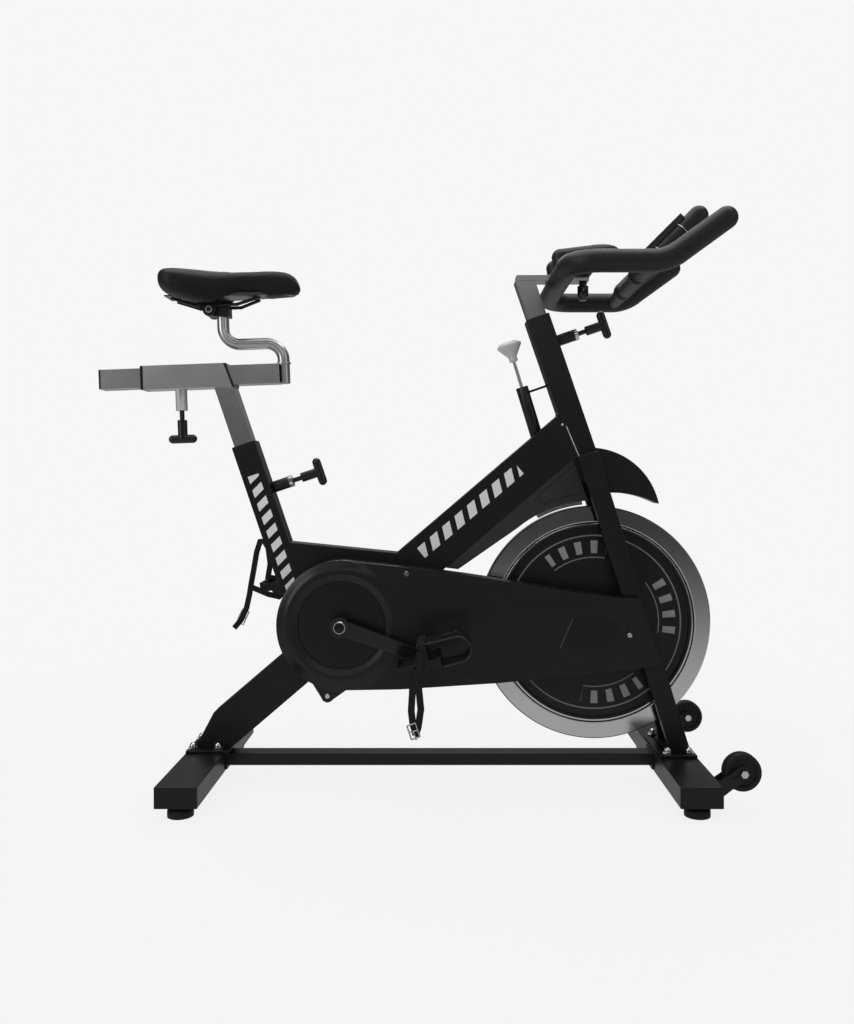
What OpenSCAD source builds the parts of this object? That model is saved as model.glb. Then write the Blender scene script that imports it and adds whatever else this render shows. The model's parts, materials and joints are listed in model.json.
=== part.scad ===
// Indoor exercise bike with a chain-driven flywheel.
// Millimetres. +X points forward, +Z up, and the drive side faces -Y.
// The origin lies on the floor, below the middle of the whole bike.

/* [Stance] */
// Length of the steel tube of each stabiliser, side to side
stabilizer_l = 494; // [460:2:530]
// Width of a stabiliser, front to back
stabilizer_w = 80; // [72:1:88]
// Height of a stabiliser tube
stabilizer_h = 40; // [36:1:44]
// Wall of the stabiliser tubes
stabilizer_wall = 2.5; // [2:0.5:4]
// Height of the stabilisers' undersides above the floor
floor_gap = 24; // [20:1:28]
// Thickness of the flange of a stabiliser end cap
cap_flange = 3; // [2:0.5:4]
// Distance of the levelling feet's middles in from the stabilisers' ends
foot_in = 32; // [28:1:60]
// Diameter of a levelling foot
foot_d = 49; // [40:1:56]
// Thread diameter of a levelling foot
foot_screw_d = 10; // [8:1:12]
// Width of the low tube between the stabilisers
base_w = 40; // [30:1:50]
// Height of the low tube between the stabilisers
base_h = 25; // [20:1:28]
// Height of the low tube's underside above the stabilisers' undersides
base_lift = 8; // [6:0.5:10]
// Diameter of a transport wheel
wheel_d = 70; // [60:1:76]
// Width of a transport wheel
wheel_w = 24; // [18:1:30]
// Distance of the transport wheels' middles in from the stabilisers' ends
wheel_in = 47; // [40:1:70]
// Distance of the wheels' axles ahead of the front stabiliser
wheel_reach = 48; // [44:1:56]
// Height of the wheels' axles above the floor
wheel_z = 78; // [70:1:84]

/* [Frame] */
// Bottom bracket, along the bike
bb_x = -147; // [-155:1:-140]
// Bottom bracket, above the floor
bb_z = 334; // [325:1:342]
// Slope of the main beam and the rear leg, in degrees
beam_slope = 40.5; // [39.5:0.1:41.5]
// Distance of the beam's middle line below the bottom bracket
beam_drop = 8; // [4:1:12]
// Depth of the main beam
beam_h = 90; // [84:1:96]
// Width of the frame tubes, side to side
tube_w = 50; // [48:0.5:52]
// Wall of the frame tubes
tube_wall = 2.5; // [2:0.1:2.7]
// Depth of the rear leg
leg_h = 80; // [74:1:86]
// Distance down the beam from the bottom bracket to the rear leg
leg_start = 115; // [110:1:125]
// Middle of the seat tube's mouth, along the bike
seat_x = -357; // [-362:1:-352]
// Middle of the seat tube's mouth, above the floor
seat_z = 703; // [690:1:715]
// Backward lean of the seat tube, in degrees
seat_lean = 18.8; // [18:0.1:19.6]
// Middle of the head tube's mouth, along the bike
head_x = 258.7; // [252:0.1:265]
// Middle of the head tube's mouth, above the floor
head_z = 970; // [955:1:985]
// Backward lean of the head tube, in degrees
head_lean = 19; // [18.5:0.1:19.5]
// Length of the head tube down to the fork crown
head_l = 350; // [340:1:360]
// Backward lean of the fork, in degrees
fork_lean = 17.2; // [16.8:0.1:17.6]
// Width of a fork leg, front to back
fork_w = 40; // [36:1:44]
// Thickness of a fork leg, side to side
fork_t = 20; // [18:0.5:22]
// Distance of the fork legs' middle planes from the bike's middle
fork_y = 48; // [46:0.5:50]
// Thickness of the foot plates and of the axle plates
plate_t = 6; // [5:0.5:8]
// Height of the gusset's top edge above the bottom bracket, at the seat tube
gusset_rise = 168; // [160:1:176]
// Fall of the gusset's top edge from the seat tube to the beam
gusset_fall = 26; // [20:1:40]

/* [Flywheel and drive] */
// Height of the flywheel's axle above the floor
flywheel_z = 331; // [328:1:340]
// Distance of the flywheel's axle behind the fork legs' middle line
axle_setback = 90; // [80:1:94]
// Diameter of the flywheel
flywheel_d = 488; // [470:2:492]
// Depth of the flywheel's bright rim, from its outer to its inner edge
rim_depth = 40; // [34:1:49]
// Width of the flywheel's rim
rim_w = 30; // [24:1:34]
// Thickness of the flywheel's web
web_t = 6; // [5:0.5:8]
// Diameter of the flywheel's axle
axle_d = 17; // [15:0.5:19]
// Distance of the chain's middle plane from the bike's middle
chain_y = 33.5; // [33:0.1:34]
// Pitch of the chain
chain_pitch = 12.7; // [12.5:0.1:12.9]
// Teeth of the chainring
chainring_teeth = 52; // [48:1:54]
// Teeth of the flywheel's sprocket
sprocket_teeth = 20; // [18:1:22]
// Length of a crank arm between its axes
crank_l = 170; // [165:1:180]
// Angle of the forward crank arm below level, in degrees
crank_angle = 19.5; // [10:0.5:30]
// Diameter of the crank spindle
spindle_d = 20; // [18:0.5:22]
// Distance of the pedals' middles from the bike's middle
pedal_y = 175; // [170:1:190]
// Length of a pedal body, front to back
pedal_l = 92; // [84:1:100]
// Width of a pedal body, side to side
pedal_w = 92; // [84:1:100]
// Thickness of a pedal body
pedal_h = 24; // [22:1:28]
// Height of the toe cage over the pedal's sole
cage_h = 52; // [44:1:60]
// Reach of the toe cage ahead of the pedal's axis
cage_reach = 108; // [98:1:115]
// Width of the pedal straps
strap_w = 15; // [12:1:18]

/* [Chain guard and covers] */
// Distance of the chain guard's outer face from the bike's middle
guard_y = 76; // [72:0.5:80]
// Wall of the chain guard
guard_wall = 2.5; // [2:0.1:3]
// Radius of the chain guard's round rear end
guard_r = 132; // [128:1:138]
// Radius of the round panel in the chain guard
guard_disc_r = 88; // [80:1:92]
// Gap between the beam's cover and the flywheel
cover_gap = 12; // [9:0.5:16]
// Wall of the plastic covers
cover_wall = 2.5; // [2:0.5:3.5]
// Width of the front mudguard
fin_w = 56; // [50:1:60]

/* [Seat] */
// Width of the seat post
post_w = 40; // [38:0.5:41]
// Wall of the seat post and the handlebar post
post_wall = 2; // [1.5:0.1:3]
// Length of seat post that shows above the seat tube
seat_show = 128; // [118:1:150]
// Length of seat post hidden in the seat tube
seat_hidden = 230; // [200:1:240]
// Outer height and width of the seat sleeve
sleeve_w = 50; // [49:0.5:54]
// Wall of the seat sleeve
sleeve_wall = 4.2; // [3.5:0.1:4.5]
// Length of the seat sleeve behind the seat post's middle line
sleeve_back = 166; // [150:1:180]
// Length of the seat sleeve ahead of the seat post's middle line
sleeve_front = 22; // [20:1:30]
// Upward tilt of the seat sleeve towards the front, in degrees
sleeve_tilt = 2.1; // [0:0.1:3]
// Length of the sliding tube behind the seat post's middle line
slider_back = 254.6; // [250:0.1:270]
// Length of the sliding tube ahead of the seat post's middle line
slider_front = 124; // [118:1:130]
// Diameter of the bent saddle pin
pin_d = 25; // [22:0.5:28]
// Bend radius of the saddle pin
pin_bend = 36; // [30:1:40]
// Height of the saddle pin's level run above the sliding tube's middle
pin_rise = 66; // [62:1:76]
// Setback of the saddle pin's upper end behind its lower end
pin_back = 125; // [110:1:135]
// Length of the saddle
saddle_l = 286; // [260:1:290]
// Width of the saddle
saddle_w = 178; // [160:1:200]

/* [Handlebar] */
// Height of the handlebar post above the head tube
bar_show = 77; // [70:1:100]
// Length of handlebar post hidden in the head tube
bar_hidden = 210; // [180:1:230]
// Thickness of the handlebar arm
arm_t = 12; // [10:0.5:14]
// Length of the handlebar arm
arm_l = 152; // [145:1:160]
// Diameter of the padded handlebar tubes
bar_d = 44; // [38:0.5:44]
// Distance of the side grips from the bike's middle
bar_y = 212; // [195:1:225]
// Distance of the rear bar ahead of the arm's rear end
bar_x = 88; // [80:1:95]
// Corner radius of the handlebar
bar_corner = 56; // [50:1:75]
// Length of the level part of a side grip
grip_l = 96; // [85:1:105]
// Upward angle of the horns, in degrees
horn_angle = 36; // [30:1:42]
// Bend radius at the foot of a horn
horn_bend = 90; // [70:1:110]
// Rise of a horn over the level grips
horn_rise = 81; // [70:1:90]
// Distance of the inner bars from the bike's middle
inner_y = 80; // [76:1:90]
// Length of an inner bar between the middles of its round ends
inner_l = 173; // [165:1:190]

/* [Brake and locks] */
// Backward lean of the brake rod, in degrees
brake_lean = 17; // [16:0.1:18]
// Diameter of the brake rod
brake_rod_d = 7; // [6:0.5:9]
// Gap between the brake pad and the flywheel at rest
pad_gap = 4; // [3.8:0.1:6]
// Distance of the lock pins below the mouths of their tubes
lock_drop = 103; // [90:1:115]
// Distance of the handlebar's lock pin below the head tube's mouth
bar_lock_drop = 58; // [54:1:70]
// Pitch of the lock holes in the posts and the sliding tube
hole_pitch = 25; // [20:0.5:30]
// Diameter of a lock pin
lock_d = 10; // [8:0.5:11]
// Length of a lock pin's barrel
barrel_l = 45; // [40:1:50]
// Diameter of a lock pin's barrel
barrel_d = 24; // [20:0.5:28]

/* [Hidden] */
$fn = 48;
eps = 0.01;
run_gap = 0.05;      // radial clearance of a running fit
slide_gap = 0.3;     // clearance of a sliding square tube, each side
side_gap = 1;        // clearance of a cover from what passes it

bb = [bb_x, bb_z];
seat_top = [seat_x, seat_z];
head_top = [head_x, head_z];
foot_y = stabilizer_l / 2 - foot_in;
wheel_y = stabilizer_l / 2 - wheel_in;
stabilizer_top = floor_gap + stabilizer_h;
plate_top = stabilizer_top + plate_t;
tube_in = tube_w - 2 * tube_wall;

// fork: the crown hangs at the head tube's lower end
crown = head_top + head_l * [sin(head_lean), -cos(head_lean)] + [-5.5, 18];
crown_h = 56;
crown_x = fork_w + 4;
fork_l = (crown.y - stabilizer_top) / cos(fork_lean) + 30;
function fork_at(z) = crown.x + (crown.y - z) * tan(fork_lean);
fork_foot_x = fork_at(plate_top);
front_x = fork_foot_x - 10;
front_plate = [fork_foot_x - 46, fork_foot_x + 29];
front_plate_y = 78;
leg_out = fork_y + fork_t / 2;

// flywheel and drive
fly = [fork_at(flywheel_z) - axle_setback, flywheel_z];
fly_r = flywheel_d / 2;
rim_r = fly_r - rim_depth;
hub_r = 30;
hub_half = 31;
boss_r = 22;
boss_end = 36;
bearing_r = 20;
bearing_w = 12;
axle_plate_in = leg_out - plate_t - 2;
axle_end = 72;
pitch_r1 = chain_pitch / 2 / sin(180 / chainring_teeth);
pitch_r2 = chain_pitch / 2 / sin(180 / sprocket_teeth);
chain_half = 4.5;    // half the height of a chain link
chain_w = 8;
tooth_w = 3;
root_gap = 0.3;
shell_r = 28;
shell_half = 27;
arm_in = guard_y + 12;
arm_out = arm_in + 15;
boss_out = arm_out + 4;
pedal_spindle_r = 7;
pedal_at = crank_l * [cos(crank_angle), -sin(crank_angle)];
pedal_tilt = 14;     // both pedals rest toe up
left_tilt = 8;
cage_end = 6;
strap_x = 16;
strap_t = 2.2;
tail_w = strap_w - 2;

// rear leg: from the main beam down to its foot plate
beam_half = beam_h / 2;
beam_l = 620;        // reaches into the head tube, which cuts it off
leg_half = leg_h / 2;
// point on the frame's sloping line at height z, offset up by d across it
function slope_x(z, d) =
    bb.x + ((z - bb.y) * cos(beam_slope) + beam_drop - d) / sin(beam_slope);
leg_foot_x = slope_x(plate_top, 0);
leg_cut_x = leg_foot_x - 14;
rear_x = leg_foot_x + 11;
rear_plate = [rear_x - stabilizer_w / 2 + 1, slope_x(plate_top, -leg_half) - 1];
rear_plate_y = 46;
bolt_d = 10;
bolt_af = 17;

// transport wheels
wheel_x = front_x + stabilizer_w / 2 + wheel_reach;
wheel_bolt_r = 5;
fork_tab_t = 4;

// seat
sleeve_z = (sleeve_w / 2) / cos(seat_lean) ;
slider_w = sleeve_w - 2 * sleeve_wall - 2 * slide_gap;
slider_wall = 2.5;
seat_mid = seat_top + (seat_show + sleeve_z) * [-sin(seat_lean), cos(seat_lean)];
clamp_half = 16;
clamp_z = pin_rise + 72;      // saddle bolt above the sliding tube's middle
clamp_back = 23;              // saddle bolt behind the saddle pin's upper end
cheek_t = 7;
rail_r = 3.5;
rail_y = clamp_half + 0.3 + cheek_t / 2;

// handlebar
bar_z = head_z + bar_show;
bar_r = bar_d / 2;
arm_x = head_x - bar_show * tan(head_lean) - 18;
arm_top = bar_z + arm_t;
bar_axis_z = bar_z - 3;
rear_bar_x = arm_x + bar_x;
corner_x = rear_bar_x + bar_corner;
horn_x = corner_x + grip_l;
horn_l = (horn_rise - horn_bend * (1 - cos(horn_angle))) / sin(horn_angle);
knob_x = arm_x + arm_l - 10;
cross_x = horn_x + 4;
cross_r = 16;
inner_foot = [horn_x + 2, bar_axis_z];
inner_r = 20;
tray_l = 104;
tray_back = 27;      // distance of the tray's top edge below the tips of the inner bars
hoop_r = 18;
hoop_y = 50;
hoop_slope = 7;
hoop_l = 67;
hoop_foot = [rear_bar_x, bar_axis_z + 44];   // where the hoop leaves the rear bar
seat_half = 44;      // half the width of the clamp screw's seat
arm_half = post_w / 2 + 1;

// brake, measured outwards from the flywheel's axle
pad_r = fly_r + pad_gap;
pad_t = 9;
shoe_t = 5;
shoe_half = 50;
sleeve_top = 517;
rod_show = 58;       // length of the rod between its sleeve and its knob
rod_end = sleeve_top + rod_show;
brake_sleeve_r = 13;
brake_collar = 9;
brake_cone = 25;
brake_knob_r = 26;
pad_half = 9.3;      // half the length of one of the five pads
pad_step = 4.5;      // angle between neighbouring pads
pad_glue = 0.05;

// lock pins, measured outwards from the face of their tube
lock_hole_r = lock_d / 2 + 0.4;
lock_collar_r = 7.6;
lock_chamber_r = 8;
stem_r = 10;

// ---- placing and drawing helpers ----

// a drawing in the side view (x, z), given a thickness from y0 to y1
module side(y0, y1) {
    translate([0, y1, 0]) rotate([90, 0, 0]) linear_extrude(y1 - y0) children();
}

// stands children on a leaning tube: +Z runs up the tube, +X out of its front
module leaning(p, lean) {
    translate([p.x, 0, p.y]) rotate([0, -lean, 0]) children();
}

// lies children along the frame's sloping line: +X runs up the slope
module on_slope() {
    translate([bb.x, 0, bb.y]) rotate([0, -beam_slope, 0]) translate([0, 0, -beam_drop]) children();
}

// a bar of size s centred on the Z axis from z0 to z1
module bar(sx, sy, z0, z1) {
    translate([-sx / 2, -sy / 2, z0]) cube([sx, sy, z1 - z0]);
}

// a cylinder across the bike at p, from y0 to y1
module across(p, r, y0, y1) {
    translate([p.x, y1, p.y]) rotate([90, 0, 0]) cylinder(r = r, h = y1 - y0);
}

// a box from corner a to corner b
module block(a, b) {
    translate(a) cube(b - a);
}

// a round bar between two points
module rod(a, b, r) {
    v = b - a;
    translate(a) rotate([0, acos(v.z / norm(v)), atan2(v.y, v.x)]) cylinder(r = r, h = norm(v));
}

// a round bar between two points, with round ends
module capsule(a, b, r) {
    v = b - a;
    h = norm(v);
    translate(a) rotate([0, acos(v.z / h), atan2(v.y, v.x)]) rotate_extrude() intersection() {
        union() {
            square([r, h]);
            circle(r);
            translate([0, h]) circle(r);
        }
        translate([0, -r]) square([r, h + 2 * r]);
    }
}

// a bend that starts at the origin along +X and turns towards +Y
module bend(radius, angle, r) {
    translate([0, radius, 0]) rotate([0, 0, -90])
        rotate_extrude(angle = angle) translate([radius, 0]) circle(r);
}

// the outline of points p, moved inwards by d (p runs anticlockwise)
function unit(v) = v / norm(v);
function inset(p, d) = [for (i = [0 : len(p) - 1])
    let (n = len(p), u = unit(p[i] - p[(i + n - 1) % n]), v = unit(p[(i + 1) % n] - p[i]),
         a = [-u.y, u.x], b = [-v.y, v.x])
    p[i] + d * (a + b) / (1 + a * b)];

// a hexagon bolt head or nut standing on z = 0
module hex(af, h) {
    cylinder(d = af / cos(30), h = h, $fn = 6);
}

// both sides of the bike
module both() {
    children();
    mirror([0, 1, 0]) children();
}

// ---- stance ----

module stabilizer_tube(x) {
    difference() {
        translate([x, 0, floor_gap]) rotate([90, 0, 0]) translate([0, 0, -stabilizer_l / 2])
            linear_extrude(stabilizer_l) translate([-stabilizer_w / 2, 0])
                square([stabilizer_w, stabilizer_h]);
        translate([x, 0, floor_gap]) rotate([90, 0, 0]) translate([0, 0, -stabilizer_l])
            linear_extrude(2 * stabilizer_l) translate([stabilizer_wall - stabilizer_w / 2, stabilizer_wall])
                square([stabilizer_w, stabilizer_h] - 2 * stabilizer_wall * [1, 1]);
        both() translate([x, foot_y, floor_gap - eps])
            cylinder(d = foot_screw_d + 2 * run_gap, h = stabilizer_h / 2);
        for (p = bolt_points) translate([p.x, p.y, floor_gap + stabilizer_h / 2])
            cylinder(d = bolt_d + 1, h = stabilizer_h);
    }
    // threaded boss inside the tube over each foot
    both() translate([x, foot_y, floor_gap + stabilizer_wall]) difference() {
        cylinder(d = foot_screw_d + 8, h = 12);
        translate([0, 0, -eps]) cylinder(d = foot_screw_d + 2 * run_gap, h = 13);
    }
}

module rear_stabilizer() {
    color([0.13, 0.13, 0.13]) stabilizer_tube(rear_x);
}

module front_stabilizer() {
    color([0.13, 0.13, 0.13]) {
        stabilizer_tube(front_x);
        // a pair of ears carries each transport wheel
        face = front_x + stabilizer_w / 2;
        both() for (e = [-1, 1]) {
            y = wheel_y + e * (wheel_w / 2 + 1 + fork_tab_t / 2);
            difference() {
                side(y - fork_tab_t / 2, y + fork_tab_t / 2) {
                    polygon([[face, floor_gap + 4], [face, stabilizer_top - 2],
                        [wheel_x - 8, wheel_z + 11], [wheel_x + 4, wheel_z - 10]]);
                    translate([wheel_x, wheel_z]) circle(12);
                }
                across([wheel_x, wheel_z], wheel_bolt_r + run_gap, y - 5, y + 5);
            }
        }
    }
}

module stabilizer_end_caps() {
    in_w = stabilizer_w - 2 * stabilizer_wall;
    in_h = stabilizer_h - 2 * stabilizer_wall;
    color([0.06, 0.06, 0.06]) for (x = [rear_x, front_x]) both()
        translate([x, stabilizer_l / 2, floor_gap]) {
            block([-stabilizer_w / 2, 0, 0], [stabilizer_w / 2, cap_flange, stabilizer_h]);
            difference() {
                block([-in_w / 2, -18, stabilizer_wall], [in_w / 2, eps, stabilizer_wall + in_h]);
                block([3 - in_w / 2, -19, stabilizer_wall + 3],
                      [in_w / 2 - 3, -2, stabilizer_wall + in_h - 3]);
            }
        }
}

module base_tube() {
    x0 = rear_x + stabilizer_w / 2;
    x1 = front_x - stabilizer_w / 2;
    z = floor_gap + base_lift;
    color([0.12, 0.12, 0.12]) {
        difference() {
            block([x0, -base_w / 2, z], [x1, base_w / 2, z + base_h]);
            block([x0 + 4, tube_wall - base_w / 2, z + tube_wall],
                  [x1 - 4, base_w / 2 - tube_wall, z + base_h - tube_wall]);
        }
        for (e = [[x0, x0 + 4], [x1 - 4, x1]])
            block([e[0], -base_w / 2 - 12, floor_gap + 3], [e[1], base_w / 2 + 12, stabilizer_top - 3]);
    }
}

// ---- frame ----

// a point of the side view in the sloping line's own frame
function local(p) =
    [(p.x - bb.x) * cos(beam_slope) + (p.y - bb.y) * sin(beam_slope),
     (p.y - bb.y) * cos(beam_slope) - (p.x - bb.x) * sin(beam_slope) + beam_drop];

module rear_leg() {
    cut_z = plate_top + 74;
    outer = [[-leg_start, -leg_half], [-leg_start, leg_half], local([slope_x(cut_z, leg_half), cut_z]),
        local([leg_cut_x, plate_top]), local([slope_x(plate_top, -leg_half), plate_top])];
    color([0.08, 0.08, 0.08]) {
        difference() {
            on_slope() side(-tube_w / 2, tube_w / 2) polygon(outer);
            on_slope() side(tube_wall - tube_w / 2, tube_w / 2 - tube_wall) polygon(inset(outer, tube_wall));
        }
        difference() {
            block([rear_plate[0], -rear_plate_y, stabilizer_top],
                  [rear_plate[1], rear_plate_y, plate_top]);
            for (p = bolt_points) translate([p.x, p.y, stabilizer_top - 1])
                cylinder(d = bolt_d + 0.1, h = plate_t + 2);
        }
    }
}

module beam_block() {
    on_slope() block([-leg_start, -tube_w / 2, -beam_half], [beam_l, tube_w / 2, beam_half]);
}

module head_block() {
    leaning(head_top, head_lean) bar(tube_w, tube_w, -head_l, 0);
}

module main_beam() {
    color([0.08, 0.08, 0.08]) difference() {
        beam_block();
        on_slope() block([tube_wall - leg_start, tube_wall - tube_w / 2, tube_wall - beam_half],
            [beam_l + 1, tube_w / 2 - tube_wall, beam_half - tube_wall]);
        // everything ahead of the head tube's rear face
        leaning(head_top, head_lean) block([-tube_w / 2, -tube_w, -head_l - 200], [400, tube_w, 200]);
        across(bb, shell_r, -tube_w, tube_w);
        leaning(fly, brake_lean) cylinder(r = brake_rod_d / 2 + 1.5, h = rod_end);
    }
}

module bottom_bracket() {
    color([0.35, 0.35, 0.36]) {
        difference() {
            across(bb, shell_r, -shell_half, shell_half);
            across(bb, bearing_r, -shell_half - 1, shell_half + 1);
        }
        // one sealed bearing at each end of the shell
        both() difference() {
            across(bb, bearing_r, shell_half - bearing_w, shell_half);
            across(bb, spindle_d / 2 + run_gap, shell_half - bearing_w - 1, shell_half + 1);
        }
    }
}

module seat_tube() {
    color([0.07, 0.07, 0.07]) difference() {
        leaning(seat_top, seat_lean) bar(tube_w, tube_w, -480, 0);
        leaning(seat_top, seat_lean) bar(tube_in, tube_in, -490, 1);
        beam_block();
        // nothing of the tube reaches below the beam
        on_slope() block([-leg_start - 100, -tube_w, -300], [400, tube_w, beam_half]);
        leaning(seat_top, seat_lean) translate([0, 0, -lock_drop]) rotate([0, 90, 0])
            cylinder(r = lock_hole_r, h = tube_w);
    }
}

module frame_gusset() {
    z = bb.y + gusset_rise;
    rear = [seat_x + (seat_z - z) * tan(seat_lean), z];
    tip = [slope_x(z - gusset_fall, beam_half) + 8, z - gusset_fall];
    low = [rear.x + 30, bb.y - 60];
    points = [rear, low, tip - [0, 20], tip];
    color([0.07, 0.07, 0.07]) difference() {
        side(-tube_w / 2, tube_w / 2) polygon(points);
        side(tube_wall - tube_w / 2, tube_w / 2 - tube_wall)
            polygon([rear - [0, tube_wall], low, tip - [0, 20], tip - [0, tube_wall]]);
        beam_block();
        on_slope() block([-leg_start - 100, -tube_w, -400], [400, tube_w, 0]);
        leaning(seat_top, seat_lean) bar(tube_w, tube_w + 1, -480, 0);
        leaning(seat_top, seat_lean) block([-200, -tube_w, -480], [0, tube_w, 0]);
    }
}

module crown_block() {
    leaning(crown, fork_lean) bar(crown_x, 2 * leg_out, -crown_h / 2, crown_h / 2);
}

module head_tube() {
    color([0.07, 0.07, 0.07]) {
        difference() {
            head_block();
            leaning(head_top, head_lean) bar(tube_in, tube_in, -head_l + 40, 1);
            leaning(head_top, head_lean) translate([0, 0, -bar_lock_drop]) rotate([0, 90, 0])
                cylinder(r = lock_hole_r, h = tube_w);
        }
        difference() {
            crown_block();
            leaning(crown, fork_lean) bar(crown_x - 8, 2 * leg_out - 8, 4 - crown_h / 2, crown_h / 2 - 4);
            leaning(head_top, head_lean) bar(tube_w, tube_w, -head_l, 0);
        }
    }
}

// one fork leg with the plate that carries the flywheel's axle
module fork_leg() {
    difference() {
        leaning(crown, fork_lean) translate([0, fork_y, 0]) difference() {
            bar(fork_w, fork_t, -fork_l, -crown_h / 2);
            bar(fork_w - 2 * tube_wall, fork_t - 2 * tube_wall, -fork_l - 1, -crown_h / 2 - tube_wall);
        }
        block([0, 0, 0], [fork_foot_x + 200, 200, plate_top]);
    }
    difference() {
        side(axle_plate_in, axle_plate_in + plate_t) difference() {
            union() {
                translate(fly) circle(30);
                polygon([fly + [0, 30], fly + [axle_setback - fork_w / 2 - 8, 34],
                    fly + [axle_setback - fork_w / 2 + 13, -34], fly + [0, -30]]);
            }
            translate(fly) circle(axle_d / 2 + run_gap);
        }
        leaning(crown, fork_lean) translate([0, fork_y, 0]) bar(fork_w, fork_t, -fork_l, 0);
    }
}

module fork_leg_left() {
    color([0.07, 0.07, 0.07]) fork_leg();
}

module fork_leg_right() {
    color([0.07, 0.07, 0.07]) mirror([0, 1, 0]) fork_leg();
}

module front_foot_plate() {
    color([0.07, 0.07, 0.07]) difference() {
        block([front_plate[0], -front_plate_y, stabilizer_top],
              [front_plate[1], front_plate_y, plate_top]);
        for (p = bolt_points) translate([p.x, p.y, stabilizer_top - 1])
            cylinder(d = bolt_d + 0.1, h = plate_t + 2);
    }
}

// where the foot plates are bolted down
bolt_points = concat(
    [for (s = [-1, 1]) [rear_x - 26, s * (rear_plate_y - 10)]],
    [for (s = [-1, 1]) [rear_x + 26, s * (rear_plate_y - 10)]],
    [for (s = [-1, 1]) [front_plate[0] + 16, s * (front_plate_y - 9)]],
    [for (s = [-1, 1]) [front_plate[1] - 16, s * (front_plate_y - 9)]]);

module dome_nut() {
    hex(bolt_af, 6);
    translate([0, 0, 6]) cylinder(d = bolt_af - 3, h = 2);
    translate([0, 0, 8]) intersection() {
        sphere(d = bolt_af - 3);
        translate([0, 0, 10]) cube(20, center = true);
    }
}

module frame_bolts() {
    color([0.75, 0.75, 0.76]) {
        for (p = bolt_points) translate([p.x, p.y, 0]) {
            translate([0, 0, stabilizer_top - stabilizer_wall - 8]) cylinder(d = bolt_d, h = plate_t + 12);
            translate([0, 0, plate_top]) dome_nut();
        }
        // wheel bolts, through both ears of each wheel
        both() {
            across([wheel_x, wheel_z], wheel_bolt_r, wheel_y - 19, wheel_y + 19);
            for (e = [-1, 1]) translate([wheel_x, wheel_y + e * (wheel_w / 2 + 1 + fork_tab_t), wheel_z])
                rotate([-90 * e, 0, 0]) hex(13, 5);
        }
        // guard screws: front, top and the lug below
        for (p = guard_screws) translate([p.x, -guard_y, p.y]) rotate([90, 0, 0])
            cylinder(d1 = 12, d2 = 9, h = 2.5);
    }
}

// ---- chain guard, chain and covers ----

guard_in = chain_y - chain_w / 2 - 1.5;
guard_arm = [fly + [83, -84], fly + [127, -77], fly + [84, 57], fly + [42, 59],
    fly + [-80, 75], fly + [-242, 101], bb + [161, 115], bb + [-2, guard_r], bb + [0, -guard_r],
    bb + [120, -130], fly + [-202, -114]];
panel_depth = 3.5;
panel_bevel = 16;
guard_lug = bb + [-27.5, -143.5];
guard_screws = [bb + [133, 105], fly + [62, -17], guard_lug];

module guard_outline(d) {
    translate(bb) circle(guard_r - d, $fn = 96);
    polygon(inset(guard_arm, d));
    translate(guard_lug) circle(13 - d);
    polygon([bb + [-60, -115], guard_lug + [-11, -6], guard_lug + [10, -8], bb + [14, -129]]);
}

module chain_guard_outer() {
    color([0.11, 0.11, 0.11]) difference() {
        union() {
            difference() {
                side(-guard_y, -guard_in) guard_outline(0);
                side(guard_wall - guard_y, eps - guard_in) guard_outline(guard_wall);
            }
            // thicker skin behind the sunken round panel
            across(bb, guard_disc_r + panel_bevel + 3, 1 - guard_y, guard_wall + panel_depth - guard_y);
            // screw posts
            for (p = guard_screws)
                across(p, 6, 1 - guard_y, p == guard_screws[1] ? -axle_plate_in - plate_t : -guard_in);
        }
        across(bb, spindle_d / 2 + 6, -guard_y - 1, 1 - guard_y + guard_wall + panel_depth);
        // the round panel over the chainring lies sunken inside a conical bevel
        across(bb, guard_disc_r, -guard_y - 1, panel_depth - guard_y);
        translate([bb.x, -guard_y, bb.y]) rotate([-90, 0, 0]) translate([0, 0, -eps])
            cylinder(r1 = guard_disc_r + panel_bevel, r2 = guard_disc_r + 2, h = panel_depth - 1);
        // sunken panel and window in the front half
        side(-guard_y - 1, 0.8 - guard_y) polygon([bb + [222, 11], bb + [268, 46], fly + [-108, 47],
            fly + [2, 36], fly + [60, 20], fly + [60, -60], fly + [-108, -84], bb + [232, -99]]);
        side(-guard_y - 1, 1.6 - guard_y) polygon([fly + [-78, -43], fly + [-53, 16], fly + [26, 16],
            fly + [34, -39]]);
        // room for the fork leg, which passes behind the skin
        leaning(crown, fork_lean) translate([0, -fork_y, 0])
            bar(fork_w + 2 * side_gap, fork_t + 2 * side_gap, -fork_l, 0);
    }
}

module chain_guard_inner() {
    color([0.11, 0.11, 0.11]) difference() {
        side(-guard_in, guard_wall - guard_in) intersection() {
            guard_outline(0);
            translate(bb - [guard_r + 50, guard_r + 50]) square([fly.x - fly_r - bb.x + guard_r + 40, 400]);
        }
        across(bb, shell_r + side_gap, -tube_w, 0);
    }
}

// tangent points of the chain on a wheel of radius r about p, above and below
function chain_side(p, r, up, tilt) = p + r * [sin(tilt), up * cos(tilt)];

module chain_loop(d) {
    r1 = pitch_r1 + d;
    r2 = pitch_r2 + d;
    span = norm(fly - bb);
    level = asin((bb.y - fly.y) / span);
    taper = asin((r1 - r2) / span);
    top = taper - level;
    low = taper + level;
    translate(bb) circle(r1, $fn = 96);
    translate(fly) circle(r2, $fn = 96);
    polygon([chain_side(bb, r1, 1, top), chain_side(bb, r1, -1, low),
        chain_side(fly, r2, -1, low), chain_side(fly, r2, 1, top)]);
}

module chain() {
    color([0.45, 0.45, 0.46]) side(-chain_y - chain_w / 2, chain_w / 2 - chain_y) difference() {
        chain_loop(chain_half);
        chain_loop(-chain_half);
    }
}

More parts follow.
